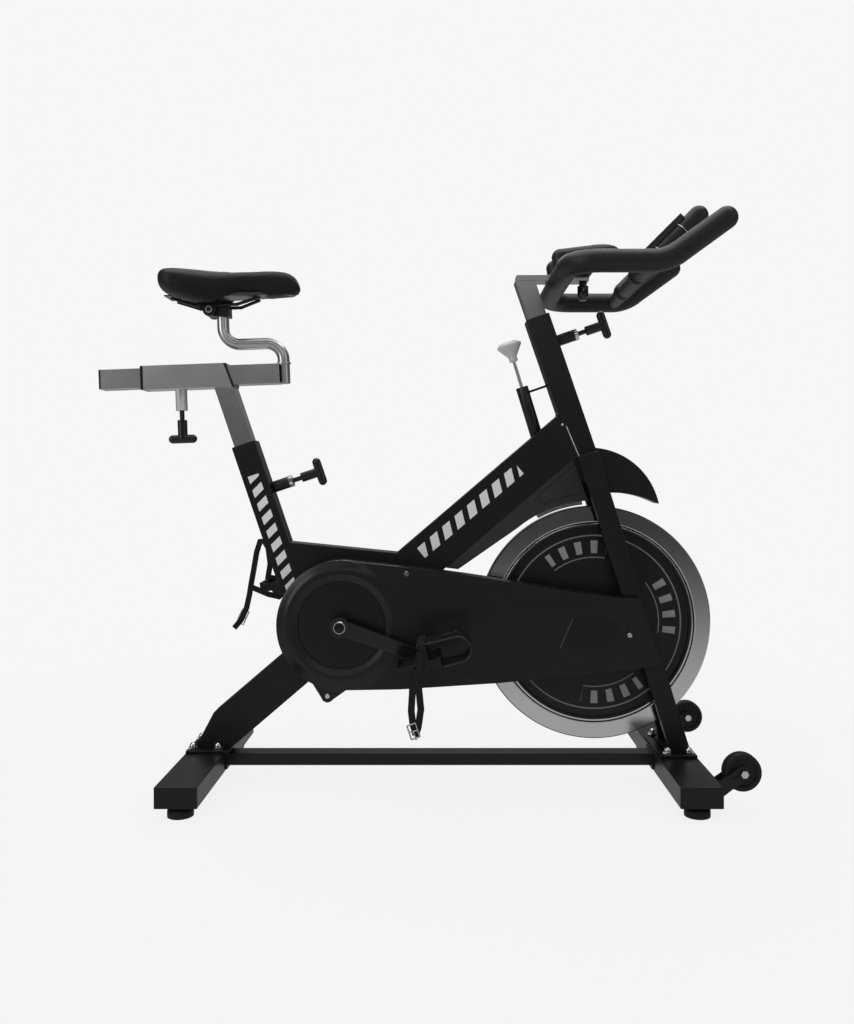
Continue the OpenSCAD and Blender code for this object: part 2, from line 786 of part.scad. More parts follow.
module beam_cover() {
    y = tube_w / 2 - 1;
    foot = fly + [-286, 112];
    points = [foot - [25, -3], foot, fly + [-155, 203], fly + [-60, 200],
        [fork_at(fly.y + 254) - 20, fly.y + 254], [fork_at(fly.y + 320) - 20, fly.y + 320],
        fly + [-35, 380]];
    color([0.22, 0.22, 0.22]) difference() {
        side(-y, y) polygon(points);
        // hollow between two side panels, closed only by the sloping rear wall
        side(cover_wall - y, y - cover_wall) polygon([foot + [-2, 3], fly + [-153, 206], fly + [-50, 190],
            fly + [60, 190], fly + [60, 400], foot + [-40, 80]]);
        across(fly, fly_r + cover_gap, -y - 1, y + 1);
        on_slope() block([-leg_start, -tube_w, -beam_half], [beam_l + 80, tube_w, 200]);
        leaning(head_top, head_lean)
            block([-tube_w / 2 - side_gap, -tube_w, -head_l - 200], [300, tube_w, 200]);
        leaning(crown, fork_lean) block([-crown_x / 2 - side_gap, -leg_out, -crown_h / 2 - side_gap],
            [300, leg_out, 100]);
    }
}

// the mudguard's side outline lies between two arcs
fin_top = fly + [-12, 218.5];
fin_low = fly + [37, 62];

module fin_outline(d) {
    difference() {
        translate(fin_top) circle(148 - d, $fn = 96);
        translate(fin_low) circle(210 + d, $fn = 96);
    }
}

module front_mudguard() {
    color([0.08, 0.08, 0.08]) difference() {
        side(-fin_w / 2, fin_w / 2) fin_outline(0);
        side(cover_wall - fin_w / 2, fin_w / 2 - cover_wall) fin_outline(cover_wall);
        // everything behind the fork's front face
        leaning(head_top, head_lean) block([-400, -fin_w, -head_l - 200], [tube_w / 2, fin_w, 200]);
        leaning(crown, fork_lean) block([-400, -fin_w, -400], [crown_x / 2, fin_w, crown_h / 2]);
    }
}

module brake_sleeve() {
    color([0.07, 0.07, 0.07]) {
        difference() {
            leaning(fly, brake_lean) cylinder(r = brake_sleeve_r, h = sleeve_top);
            leaning(fly, brake_lean) translate([0, 0, -1])
                cylinder(r = brake_rod_d / 2 + run_gap, h = sleeve_top + 2);
            beam_block();
            on_slope() block([-leg_start, -tube_w, -400], [beam_l, tube_w, beam_half]);
        }
        // stay to the head tube
        difference() {
            leaning(fly, brake_lean) translate([0, 0, sleeve_top - 14])
                rotate([0, 90 + brake_lean - head_lean, 0]) cylinder(r = 2.5, h = 60);
            leaning(fly, brake_lean) cylinder(r = brake_sleeve_r - 1, h = sleeve_top + 1);
            head_block();
            leaning(head_top, head_lean) block([-tube_w / 2, -20, -head_l], [200, 20, 0]);
        }
    }
}

module post_bush(lock_z) {
    difference() {
        bar(tube_in, tube_in, -70, 0);
        bar(post_w + slide_gap, post_w + slide_gap, -80, 1);
        translate([0, 0, -lock_z]) rotate([0, 90, 0]) cylinder(r = lock_hole_r, h = tube_w);
    }
    difference() {
        bar(tube_w, tube_w, 0, 2);
        bar(post_w + slide_gap, post_w + slide_gap, -1, 3);
    }
}

module post_bushes() {
    color([0.05, 0.05, 0.05]) {
        leaning(seat_top, seat_lean) post_bush(lock_drop);
        leaning(head_top, head_lean) post_bush(bar_lock_drop);
    }
}

// ---- flywheel ----

module flywheel_axle() {
    color([0.7, 0.7, 0.71]) {
        across(fly, axle_d / 2, -axle_end, axle_end);
        both() {
            // spacer between bearing and axle plate
            difference() {
                across(fly, axle_d / 2 + 3, hub_half - 1, axle_plate_in);
                across(fly, axle_d / 2, hub_half - 2, axle_plate_in + 1);
            }
            translate([fly.x, axle_plate_in + plate_t, fly.y]) rotate([-90, 0, 0]) difference() {
                hex(24, 9);
                translate([0, 0, -1]) cylinder(d = axle_d, h = 11);
            }
            difference() {
                across(fly, bearing_r, hub_half - 1 - bearing_w, hub_half - 1);
                across(fly, axle_d / 2, hub_half - 2 - bearing_w, hub_half);
            }
        }
    }
}

module flywheel_rim() {
    color([0.72, 0.72, 0.73]) difference() {
        across(fly, fly_r, -rim_w / 2, rim_w / 2);
        across(fly, rim_r, -rim_w, rim_w);
        // turned chamfers at the outer edges
        both() translate([fly.x, rim_w / 2, fly.y]) rotate([-90, 0, 0]) difference() {
            translate([0, 0, -2]) cylinder(r = fly_r + 1, h = 3);
            translate([0, 0, -2 - eps]) cylinder(r1 = fly_r, r2 = fly_r - 3, h = 3);
        }
    }
}

module flywheel_web() {
    web_y = 4;
    color([0.05, 0.05, 0.05]) difference() {
        union() {
            across(fly, rim_r, -web_y - web_t, -web_y);
            across(fly, rim_r, -rim_w / 2 + 1, rim_w / 2 - 1);
            across(fly, hub_r, -hub_half, hub_half);
            across(fly, boss_r, -boss_end, 0);
        }
        // the web is dished between rim and hub, deeper on the far side
        difference() {
            across(fly, rim_r - 5, -rim_w, -web_y - web_t);
            across(fly, hub_r, -tube_w, 0);
        }
        difference() {
            across(fly, rim_r - 5, -web_y, rim_w);
            across(fly, hub_r, -web_y - 1, tube_w);
        }
        across(fly, axle_d / 2 + 4, -tube_w, tube_w);
        both() across(fly, bearing_r + run_gap, hub_half - 1 - bearing_w, tube_w);
        across(fly, bearing_r + run_gap, -hub_half, bearing_w - hub_half);
    }
}

module flywheel_sprocket() {
    color([0.5, 0.5, 0.5]) difference() {
        across(fly, pitch_r2 - chain_half - root_gap, -chain_y - tooth_w / 2, tooth_w / 2 - chain_y);
        across(fly, boss_r, -tube_w, 0);
    }
}

// ---- crank ----

module crank_spindle() {
    color([0.6, 0.6, 0.6]) {
        across(bb, spindle_d / 2, -boss_out + 4, boss_out - 4);
    }
}

module chainring() {
    color([0.6, 0.6, 0.61]) difference() {
        union() {
            across(bb, pitch_r1 - chain_half - root_gap, -chain_y - tooth_w / 2, tooth_w / 2 - chain_y);
            across(bb, 22, -chain_y - 14, -chain_y);
        }
        across(bb, spindle_d / 2, -tube_w - 20, 0);
        for (i = [0 : 4]) across(bb + 62 * [cos(72 * i), sin(72 * i)], 22, -tube_w, 0);
    }
}

// a crank arm on the +Y side whose far end lies at p from the spindle
module crank_arm(p) {
    along = unit(p);
    normal = [-along.y, along.x];
    difference() {
        union() {
            side(arm_in, arm_out) translate(bb) {
                circle(18);
                polygon([normal * 16, p + normal * 12, p - normal * 12, -normal * 16]);
                translate(p) circle(13.5);
            }
            across(bb, 20, arm_in - 6, boss_out);
            across(bb + p, pedal_spindle_r, arm_in + 2, pedal_y + pedal_w / 2 - 8);
        }
        across(bb, spindle_d / 2, 0, boss_out - 4);
    }
}

module crank_arm_right() {
    color([0.12, 0.12, 0.12]) mirror([0, 1, 0]) crank_arm(pedal_at);
}

module crank_arm_left() {
    color([0.12, 0.12, 0.12]) crank_arm(-pedal_at);
}

// ---- pedals, drawn about their spindle with +X towards the toes ----

module at_pedal(p, y, tilt) {
    translate([bb.x + p.x, y, bb.y + p.y]) rotate([0, -tilt, 0]) children();
}

module pedal_body() {
    half = pedal_w / 2;
    rail = 9;
    difference() {
        union() {
            // barrel round the spindle
            rotate([90, 0, 0]) cylinder(r = 12, h = pedal_w - 4, center = true);
            // front and rear rails, and the side plates
            for (s = [-1, 1]) translate([s * (pedal_l / 2 - rail / 2), 0, 0])
                cube([rail, pedal_w, pedal_h], center = true);
            for (s = [-1, 1]) translate([0, s * (half - 4), 0])
                cube([pedal_l - 2, 8, pedal_h - 6], center = true);
            cube([pedal_l - 2, 6, 8], center = true);
        }
        rotate([90, 0, 0]) cylinder(r = pedal_spindle_r + run_gap, h = pedal_w + 2, center = true);
    }
}

module toe_cage() {
    w = pedal_w - 18;
    band = 3.5;
    low = -pedal_h / 2;
    top = low + cage_h;
    x = cage_reach - cage_h / 2;
    difference() {
        // a band leaves the pedal's front rail, curls round the toes and runs back over them
        side(-w / 2, w / 2) difference() {
            union() {
                translate([x, low + cage_h / 2]) circle(cage_h / 2);
                translate([pedal_l / 2, low]) square([x - pedal_l / 2, band]);
                translate([cage_end, top - band]) square([x - cage_end, band]);
            }
            translate([x, low + cage_h / 2]) circle(cage_h / 2 - band);
            translate([0, low + band]) square([x, cage_h - 2 * band]);
        }
        // open window over the toes
        translate([x - 10, 0, top]) cube([34, w - 30, 12], center = true);
    }
}

// strap: round the pedal and over the cage's rear end
module strap_ring() {
    half = pedal_w / 2 + slide_gap;
    top = cage_h - pedal_h / 2 + slide_gap;
    low = pedal_h / 2 + slide_gap;
    translate([strap_x - strap_w / 2, 0, 0]) rotate([90, 0, 90]) linear_extrude(strap_w) difference() {
        translate([-half - strap_t, -low - strap_t]) square([2 * (half + strap_t), top + low + 2 * strap_t]);
        translate([-half, -low]) square([2 * half, top + low]);
    }
}

// the open line p, moved sideways by d with its corners kept sharp
function beside(p, d) = [for (i = [0 : len(p) - 1])
    let (j = max(i, 1), k = min(i + 1, len(p) - 1), u = unit(p[j] - p[j - 1]), v = unit(p[k] - p[k - 1]),
         a = [-u.y, u.x], b = [-v.y, v.x])
    p[i] + d * (a + b) / (1 + a * b)];

// free end of a strap: a flat strip along points of the side view, in world directions
module strap_tail(points) {
    y = pedal_w / 2 + slide_gap + strap_t - 0.5;
    edge = beside(points, -tail_w / 2);
    side(y, y + strap_t)
        polygon(concat(beside(points, tail_w / 2), [for (i = [len(edge) - 1 : -1 : 0]) edge[i]]));
}

module pedal_right() {
    color([0.1, 0.1, 0.1]) at_pedal(pedal_at, -pedal_y, pedal_tilt) pedal_body();
}

module toe_cage_right() {
    color([0.1, 0.1, 0.1]) at_pedal(pedal_at, -pedal_y, pedal_tilt) toe_cage();
}

module pedal_strap_right() {
    color([0.06, 0.06, 0.06]) {
        at_pedal(pedal_at, -pedal_y, pedal_tilt) strap_ring();
        at_pedal(pedal_at, -pedal_y, 0) mirror([0, 1, 0]) {
            strap_tail([[4, 32], [2, -36], [6, -76], [1, -110], [-5, -126]]);
            strap_tail([[10, 6], [-9, -18], [-10, -47], [-12, -79], [-9, -103], [-3, -123]]);
        }
    }
}

module pedal_left() {
    color([0.1, 0.1, 0.1]) at_pedal(-pedal_at, pedal_y, left_tilt) pedal_body();
}

module toe_cage_left() {
    color([0.1, 0.1, 0.1]) at_pedal(-pedal_at, pedal_y, left_tilt) toe_cage();
}

module pedal_strap_left() {
    color([0.06, 0.06, 0.06]) {
        at_pedal(-pedal_at, pedal_y, left_tilt) strap_ring();
        at_pedal(-pedal_at, pedal_y, 0) {
            strap_tail([[16, -2], [-2, -20], [-20, -38], [-46, -32], [-88, -14]]);
            strap_tail([[16, 4], [-20, 4], [-46, 8], [-41, 40], [-46, 78], [-55, 93], [-65, 92], [-73, 67],
                [-80, 25], [-86, -8], [-90, -33], [-97, -65], [-109, -92], [-126, -112]]);
        }
    }
}

// ---- seat ----

module post_holes(z0, count) {
    for (i = [0 : count - 1]) translate([0, 0, z0 + i * hole_pitch]) rotate([0, 90, 0])
        cylinder(r = lock_hole_r, h = post_w);
}

module on_sleeve() {
    translate([seat_mid.x, 0, seat_mid.y]) rotate([0, -sleeve_tilt, 0]) children();
}

module seat_post() {
    z0 = -seat_hidden;
    color([0.55, 0.55, 0.56]) difference() {
        leaning(seat_top, seat_lean) difference() {
            bar(post_w, post_w, z0, seat_show + 40);
            bar(post_w - 2 * post_wall, post_w - 2 * post_wall, z0 - 1, seat_show + 41);
            post_holes(-lock_drop - 4 * hole_pitch, 9);
        }
        on_sleeve() block([-200, -tube_w, -sleeve_w / 2], [200, tube_w, 200]);
    }
}

module seat_sleeve() {
    cut = (sleeve_w / 2) * tan(seat_lean);
    color([0.5, 0.5, 0.51]) on_sleeve() difference() {
        side(-sleeve_w / 2, sleeve_w / 2)
            polygon([[-sleeve_back, -sleeve_w / 2], [sleeve_front + cut, -sleeve_w / 2],
                [sleeve_front - cut, sleeve_w / 2], [-sleeve_back, sleeve_w / 2]]);
        block([-2 * sleeve_back, sleeve_wall - sleeve_w / 2, sleeve_wall - sleeve_w / 2],
            [sleeve_back, sleeve_w / 2 - sleeve_wall, sleeve_w / 2 - sleeve_wall]);
        translate([slider_lock_x, 0, -sleeve_w]) cylinder(r = lock_hole_r, h = sleeve_w);
    }
    color([0.7, 0.7, 0.7]) on_sleeve() translate([slider_lock_x, 0, -sleeve_w / 2]) rotate([180, 0, 0])
        lock_barrel();
}

slider_lock_x = -88;
pin_x = slider_front + 7;

module saddle_pin_path(r) {
    // foot inside the sliding tube, level run, and upper end, in the sleeve's frame
    translate([pin_x, 0, -slider_w / 2]) cylinder(r = r, h = slider_w / 2 + pin_rise - pin_bend);
    rotate([90, 0, 0]) {
        translate([pin_x - pin_bend, pin_rise - pin_bend]) rotate_extrude(angle = 90)
            translate([pin_bend, 0]) circle(r);
        translate([pin_x - pin_back + pin_bend, pin_rise + pin_bend]) rotate([0, 0, 180])
            rotate_extrude(angle = 90) translate([pin_bend, 0]) circle(r);
    }
    translate([pin_x - pin_back + pin_bend, 0, pin_rise]) rotate([0, 90, 0])
        cylinder(r = r, h = pin_back - 2 * pin_bend);
    translate([pin_x - pin_back, 0, pin_rise + pin_bend])
        cylinder(r = r, h = clamp_z + 11 - pin_rise - pin_bend);
}

module slider_tube() {
    half = slider_w / 2;
    color([0.5, 0.5, 0.51]) on_sleeve() difference() {
        block([-slider_back, -half, -half], [slider_front, half, half]);
        block([3 - slider_back, slider_wall - half, slider_wall - half],
            [pin_x, half - slider_wall, half - slider_wall]);
        translate([pin_x, 0, -slider_w]) cylinder(r = pin_d / 2, h = 2 * slider_w);
        for (i = [-4 : 4]) translate([slider_lock_x + i * hole_pitch, 0, -slider_w])
            cylinder(r = lock_hole_r, h = slider_w);
    }
}

module saddle_pin() {
    color([0.75, 0.75, 0.76]) on_sleeve() saddle_pin_path(pin_d / 2);
}

saddle_bolt = [pin_x - pin_back - clamp_back, clamp_z];

module saddle_clamp() {
    color([0.06, 0.06, 0.06]) on_sleeve() difference() {
        union() {
            side(-clamp_half, clamp_half) {
                translate(saddle_bolt) circle(13);
                polygon([saddle_bolt + [0, -13], saddle_bolt + [clamp_back + 16, -15],
                    saddle_bolt + [clamp_back + 16, 11], saddle_bolt + [0, 13]]);
            }
            translate([pin_x - pin_back, 0, clamp_z - 14]) cylinder(r = clamp_half - 0.6, h = 24);
        }
        translate([pin_x - pin_back, 0, clamp_z - 40]) cylinder(r = pin_d / 2, h = 90);
        translate([saddle_bolt.x, 30, saddle_bolt.y]) rotate([90, 0, 0]) cylinder(r = 4 + run_gap, h = 60);
    }
}

rail_z = clamp_z + 9;
base_z = clamp_z + 30;
base_nose_z = clamp_z + 26;
cushion_z = clamp_z + 33;
cushion_h = 45;
belly_z = clamp_z + 12;       // underside of the cushion's two bulges beside the clamp

module saddle_rails() {
    x0 = saddle_bolt.x;
    color([0.1, 0.1, 0.1]) on_sleeve() {
        // bolt and the two cheeks that grip the rails
        translate([x0, 26, clamp_z]) rotate([90, 0, 0]) cylinder(r = 4, h = 52);
        both() difference() {
            side(clamp_half + 0.3, clamp_half + 0.3 + cheek_t) {
                translate(saddle_bolt) circle(14);
                polygon([saddle_bolt + [-14, 0], saddle_bolt + [14, 0], saddle_bolt + [24, 17],
                    saddle_bolt + [-26, 17]]);
            }
            translate([x0, 60, clamp_z]) rotate([90, 0, 0]) cylinder(r = 4 - eps, h = 120);
        }
        both() {
            translate([x0, 26, clamp_z]) rotate([-90, 0, 0]) translate([0, 0, -4.5]) hex(14, 5);
            // each rail runs level through its cheek, then climbs to the saddle's base
            rod([x0 - 28, rail_y, rail_z], [x0 + 58, rail_y, rail_z], rail_r);
            rod([x0 + 58, rail_y, rail_z], [x0 + 100, rail_y - 6, base_nose_z - rail_r], rail_r);
            rod([x0 - 28, rail_y, rail_z], [x0 - 78, rail_y + 3, base_z - rail_r], rail_r);
            for (x = [x0 - 28, x0 + 58]) translate([x, rail_y, rail_z]) sphere(rail_r + 0.3);
        }
    }
}

// the saddle stands in the sleeve's frame, over its clamp
saddle_x = saddle_bolt.x - 100;
module saddle_rear(z0, z1, grow) {
    x0 = saddle_x;
    hull() {
        for (s = [-1, 1]) translate([x0 + 46, s * (saddle_w / 2 - 46), z0])
            cylinder(r = 46 + grow, h = z1 - z0, $fn = 32);
        translate([x0 + 130, 0, z0]) cylinder(r = 42 + grow, h = z1 - z0, $fn = 32);
    }
}

module saddle_nose(z0, z1, grow) {
    x0 = saddle_x;
    hull() {
        translate([x0 + 120, 0, z0]) cylinder(r = 42 + grow, h = z1 - z0, $fn = 32);
        translate([x0 + saddle_l - 24, 0, z0]) cylinder(r = 24 + grow, h = z1 - z0, $fn = 32);
    }
}

module saddle_base() {
    color([0.05, 0.05, 0.05]) on_sleeve() {
        // a shell under the cushion, let in between its bulges
        difference() {
            saddle_rear(base_z, cushion_z - 0.3, -8);
            both() block([saddle_x - 1, 28 - 0.3, base_z - 1], [saddle_bolt.x + 40, saddle_w, cushion_z]);
        }
        difference() {
            saddle_nose(base_nose_z, cushion_z - 0.3, -8);
            both() block([saddle_x - 1, 28 - 0.3, base_z - 9], [saddle_bolt.x + 40, saddle_w, cushion_z]);
        }
    }
}

module saddle_cushion() {
    color([0.08, 0.08, 0.08]) on_sleeve() {
        saddle_rear(cushion_z, cushion_z + cushion_h, 0);
        saddle_nose(cushion_z, cushion_z + cushion_h, 0);
        both() hull() {
            translate([saddle_bolt.x - 46, 54, belly_z]) cylinder(r = 25, h = 30, $fn = 32);
            translate([saddle_bolt.x + 10, 46, belly_z]) cylinder(r = 17, h = 30, $fn = 32);
        }
    }
}

// ---- handlebar ----

module handlebar_post() {
    color([0.55, 0.55, 0.56]) {
        difference() {
            leaning(head_top, head_lean) difference() {
                bar(post_w, post_w, -bar_hidden, bar_show + 60);
                bar(post_w - 2 * post_wall, post_w - 2 * post_wall, -bar_hidden - 1, bar_show + 61);
                post_holes(-bar_lock_drop - 5 * hole_pitch, 7);
            }
            block([-500, -tube_w, bar_z], [500, tube_w, bar_z + 300]);
        }
        difference() {
            block([arm_x, -arm_half, bar_z], [arm_x + arm_l, arm_half, arm_top]);
            translate([knob_x, 0, bar_z - 1]) cylinder(r = 4 + run_gap, h = arm_t + 2);
        }
    }
}

// one side of the padded outer loop: corner, level grip and rising horn
module half_loop(r) {
    translate([corner_x, bar_y - bar_corner, bar_axis_z]) rotate([0, 0, 90])
        rotate_extrude(angle = 90) translate([bar_corner, 0]) circle(r);
    translate([corner_x, bar_y, bar_axis_z]) rotate([0, 90, 0]) cylinder(r = r, h = grip_l);
    translate([horn_x, bar_y, bar_axis_z]) rotate([90, 0, 0]) {
        bend(horn_bend, horn_angle, r);
        translate([horn_bend * sin(horn_angle), horn_bend * (1 - cos(horn_angle))])
            rotate([0, 0, horn_angle]) rotate([0, 90, 0]) {
                // the dipped horn is a little thinner than the bend it leaves
                translate([0, 0, -2]) cylinder(r = r - 0.3, h = horn_l + 2);
                translate([0, 0, horn_l]) sphere(r - 0.3);
            }
    }
}

module outer_loop(r) {
    straight = bar_y - bar_corner;
    translate([rear_bar_x, -straight, bar_axis_z]) rotate([-90, 0, 0]) cylinder(r = r, h = 2 * straight);
    both() half_loop(r);
}

module handlebar_grips() {
    color([0.07, 0.07, 0.07]) difference() {
        outer_loop(bar_r);
        block([arm_x - 20, -arm_half, bar_z], [arm_x + arm_l, arm_half, arm_top]);
    }
}

// sloping hoop over the arm, cross tube, and the two inner bars with round ends
module handlebar_inner_bars() {
    far = hoop_l * [cos(hoop_slope), sin(hoop_slope)];
    tip = inner_foot + inner_l * [cos(45), sin(45)];
    color([0.07, 0.07, 0.07]) difference() {
        union() {
            translate([hoop_foot.x, 0, hoop_foot.y]) rotate([0, -hoop_slope, 0]) {
                both() translate([0, hoop_y, 0]) rotate([0, 90, 0])
                    cylinder(r = hoop_r - 0.3, h = hoop_l + 2);
                // each end of the hoop bends down on to the rear bar
                both() translate([0, hoop_y, 0]) sphere(hoop_r);
                both() translate([0, hoop_y, -36]) cylinder(r = hoop_r - 0.3, h = 36);
                translate([hoop_l, 0, 0]) rotate([0, 0, -90]) rotate_extrude(angle = 180)
                    translate([hoop_y, 0]) circle(hoop_r);
            }
            translate([cross_x, -bar_y, bar_axis_z]) rotate([-90, 0, 0])
                cylinder(r = cross_r, h = 2 * bar_y);
            both() capsule([inner_foot.x, inner_y, inner_foot.y], [tip.x, inner_y, tip.y], inner_r);
            // seat for the clamp screw, between the hoop's bars
            block([knob_x - 20, -seat_half, arm_top], [knob_x + 14, seat_half, hoop_foot.y - 4]);
        }
        outer_loop(bar_r);
        translate([knob_x, 0, bar_z]) cylinder(r = 4 + run_gap, h = 60);
        block([arm_x - 20, -arm_half, bar_z], [arm_x + arm_l + 1, arm_half, arm_top]);
    }
}

module handlebar_tray() {
    tip = inner_foot + inner_l * [cos(45), sin(45)];
    color([0.16, 0.16, 0.16]) difference() {
        translate([tip.x, 0, tip.y]) rotate([0, -45, 0])
            block([-tray_back - tray_l, -inner_y - 14, inner_r - 3],
                [-tray_back, inner_y + 14, inner_r + 9]);
        both() rod([inner_foot.x, inner_y, inner_foot.y], [tip.x + 10, inner_y, tip.y + 10], inner_r);
        // the tray's shallow hollow
        translate([tip.x, 0, tip.y]) rotate([0, -45, 0])
            block([8 - tray_back - tray_l, 12 - inner_y, inner_r + 3],
                [-8 - tray_back, inner_y - 12, inner_r + 20]);
    }
}

module handlebar_clamp_knob() {
    color([0.08, 0.08, 0.08]) translate([knob_x, 0, bar_z]) rotate([180, 0, 0]) {
        translate([0, 0, -arm_t - 18]) cylinder(r = 4, h = arm_t + 20);
        translate([0, 0, 0.2]) cylinder(r = 8, h = 8);
        translate([0, 0, 8]) cylinder(r = 11.5, h = 22);
        translate([0, 0, 30]) cylinder(r1 = 11.5, r2 = 7, h = 8);
    }
}

// ---- lock pins, drawn outwards along +Z from the face of their tube ----

module lock_barrel() {
    difference() {
        cylinder(d = barrel_d, h = barrel_l);
        translate([0, 0, -1]) cylinder(r = lock_d / 2 + run_gap, h = barrel_l + 2);
        translate([0, 0, 2]) cylinder(r = lock_chamber_r, h = barrel_l - 8);
    }
}

module lock_pin(nose) {
    stem = barrel_l + 20;
    translate([0, 0, -nose]) cylinder(r = lock_d / 2, h = nose + stem + 30);
    translate([0, 0, 10]) cylinder(r = lock_collar_r, h = 3);
    translate([0, 0, stem]) cylinder(r = stem_r, h = 40);
    translate([0, 0, stem + 40]) rotate([0, 90, 0]) {
        translate([0, 0, -21]) cylinder(r = 9, h = 42);
        for (s = [-1, 1]) translate([0, 0, 21 * s]) sphere(9);
    }
}

module on_seat_lock() {
    leaning(seat_top, seat_lean) translate([tube_w / 2, 0, -lock_drop]) rotate([0, 90, 0]) children();
}

module on_bar_lock() {
    leaning(head_top, head_lean) translate([tube_w / 2, 0, -bar_lock_drop]) rotate([0, 90, 0]) children();
}

module on_slider_lock() {
    on_sleeve() translate([slider_lock_x, 0, -sleeve_w / 2]) rotate([180, 0, 0]) children();
}

post_face = (tube_w - post_w) / 2;

module lock_barrels() {
    color([0.7, 0.7, 0.7]) {
        on_seat_lock() lock_barrel();
        on_bar_lock() lock_barrel();
    }
}

module seat_lock_pin() {
    color([0.08, 0.08, 0.08]) on_seat_lock() lock_pin(post_face - slide_gap);
}

module handlebar_lock_pin() {
    color([0.08, 0.08, 0.08]) on_bar_lock() lock_pin(post_face - slide_gap);
}

module slider_lock_pin() {
    color([0.08, 0.08, 0.08]) on_slider_lock() lock_pin(sleeve_wall);
}

// ---- brake ----

module brake_rod() {
    color([0.6, 0.6, 0.61]) {
        leaning(fly, brake_lean) translate([0, 0, pad_r + pad_t + shoe_t - 1])
            cylinder(r = brake_rod_d / 2, h = rod_end - pad_r - pad_t - shoe_t);
        // curved shoe over the rim
        difference() {
            leaning(fly, brake_lean) block([-shoe_half, -rim_w / 2, pad_r],
                [shoe_half, rim_w / 2, pad_r + pad_t + shoe_t]);
            across(fly, pad_r + pad_t, -tube_w, tube_w);
        }
        // felt pads glued under the shoe
        for (i = [-2 : 2]) intersection() {
            leaning(fly, brake_lean + i * pad_step)
                block([-pad_half, -rim_w / 2, pad_r - 2], [pad_half, rim_w / 2, pad_r + 2 * pad_t]);
            difference() {
                across(fly, pad_r + pad_t - pad_glue, -tube_w, tube_w);
                across(fly, pad_r, -tube_w - 1, tube_w + 1);
            }
        }
    }
}

module brake_knob() {
    color([0.75, 0.75, 0.76]) leaning(fly, brake_lean) translate([0, 0, rod_end]) {
        translate([0, 0, -1 + eps]) cylinder(r = 9, h = brake_collar);
        translate([0, 0, brake_collar - 2]) cylinder(r1 = 8, r2 = brake_knob_r, h = brake_cone);
        translate([0, 0, brake_collar + brake_cone - 2]) cylinder(r = brake_knob_r, h = 3);
        translate([0, 0, brake_collar + brake_cone + 1]) cylinder(r1 = brake_knob_r, r2 = 20, h = 6);
    }
}

// ---- wheels and feet ----

module transport_wheel(y) {
    color([0.1, 0.1, 0.1]) difference() {
        across([wheel_x, wheel_z], wheel_d / 2, y - wheel_w / 2, y + wheel_w / 2);
        across([wheel_x, wheel_z], wheel_bolt_r + run_gap, y - wheel_w, y + wheel_w);
        for (s = [-1, 1]) difference() {
            across([wheel_x, wheel_z], wheel_d / 2 - 8, y + s * wheel_w / 2 - 4, y + s * wheel_w / 2 + 4);
            across([wheel_x, wheel_z], wheel_bolt_r + 6, y - wheel_w, y + wheel_w);
        }
    }
}

module transport_wheel_right() {
    transport_wheel(-wheel_y);
}

module transport_wheel_left() {
    transport_wheel(wheel_y);
}

module levelling_foot(x, y) {
    color([0.07, 0.07, 0.07]) translate([x, y, 0]) {
        cylinder(d = foot_d, h = 12);
        translate([0, 0, 12]) cylinder(d1 = foot_d, d2 = foot_d - 8, h = 4);
        translate([0, 0, 15]) cylinder(d = foot_screw_d, h = floor_gap);
        // locknut under the tube
        translate([0, 0, 16]) hex(16, floor_gap - 16 - 0.3);
    }
}

module levelling_foot_rear_right() {
    levelling_foot(rear_x, -foot_y);
}

module levelling_foot_rear_left() {
    levelling_foot(rear_x, foot_y);
}

module levelling_foot_front_right() {
    levelling_foot(front_x, -foot_y);
}

module levelling_foot_front_left() {
    levelling_foot(front_x, foot_y);
}

rear_stabilizer();
front_stabilizer();
stabilizer_end_caps();
base_tube();
rear_leg();
main_beam();
bottom_bracket();
seat_tube();
frame_gusset();
head_tube();
fork_leg_right();
fork_leg_left();
front_foot_plate();
frame_bolts();
chain_guard_outer();
chain_guard_inner();
chain();
beam_cover();
front_mudguard();
brake_sleeve();
post_bushes();
lock_barrels();
flywheel_axle();
flywheel_rim();
flywheel_web();
flywheel_sprocket();
crank_spindle();
chainring();
crank_arm_right();
crank_arm_left();
pedal_right();
toe_cage_right();
pedal_strap_right();
pedal_left();
toe_cage_left();
pedal_strap_left();
seat_post();
seat_sleeve();
slider_tube();
saddle_pin();
saddle_clamp();
saddle_rails();
saddle_base();
saddle_cushion();
handlebar_post();
handlebar_grips();
handlebar_inner_bars();
handlebar_tray();
handlebar_clamp_knob();
seat_lock_pin();
slider_lock_pin();
handlebar_lock_pin();
brake_rod();
brake_knob();
transport_wheel_right();
transport_wheel_left();
levelling_foot_rear_right();
levelling_foot_rear_left();
levelling_foot_front_right();
levelling_foot_front_left();
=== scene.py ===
"""An indoor exercise bike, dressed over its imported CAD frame. Metres, +X forwards, +Z up."""
import json
import math

import bmesh
import bpy
import numpy as np
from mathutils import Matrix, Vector, noise


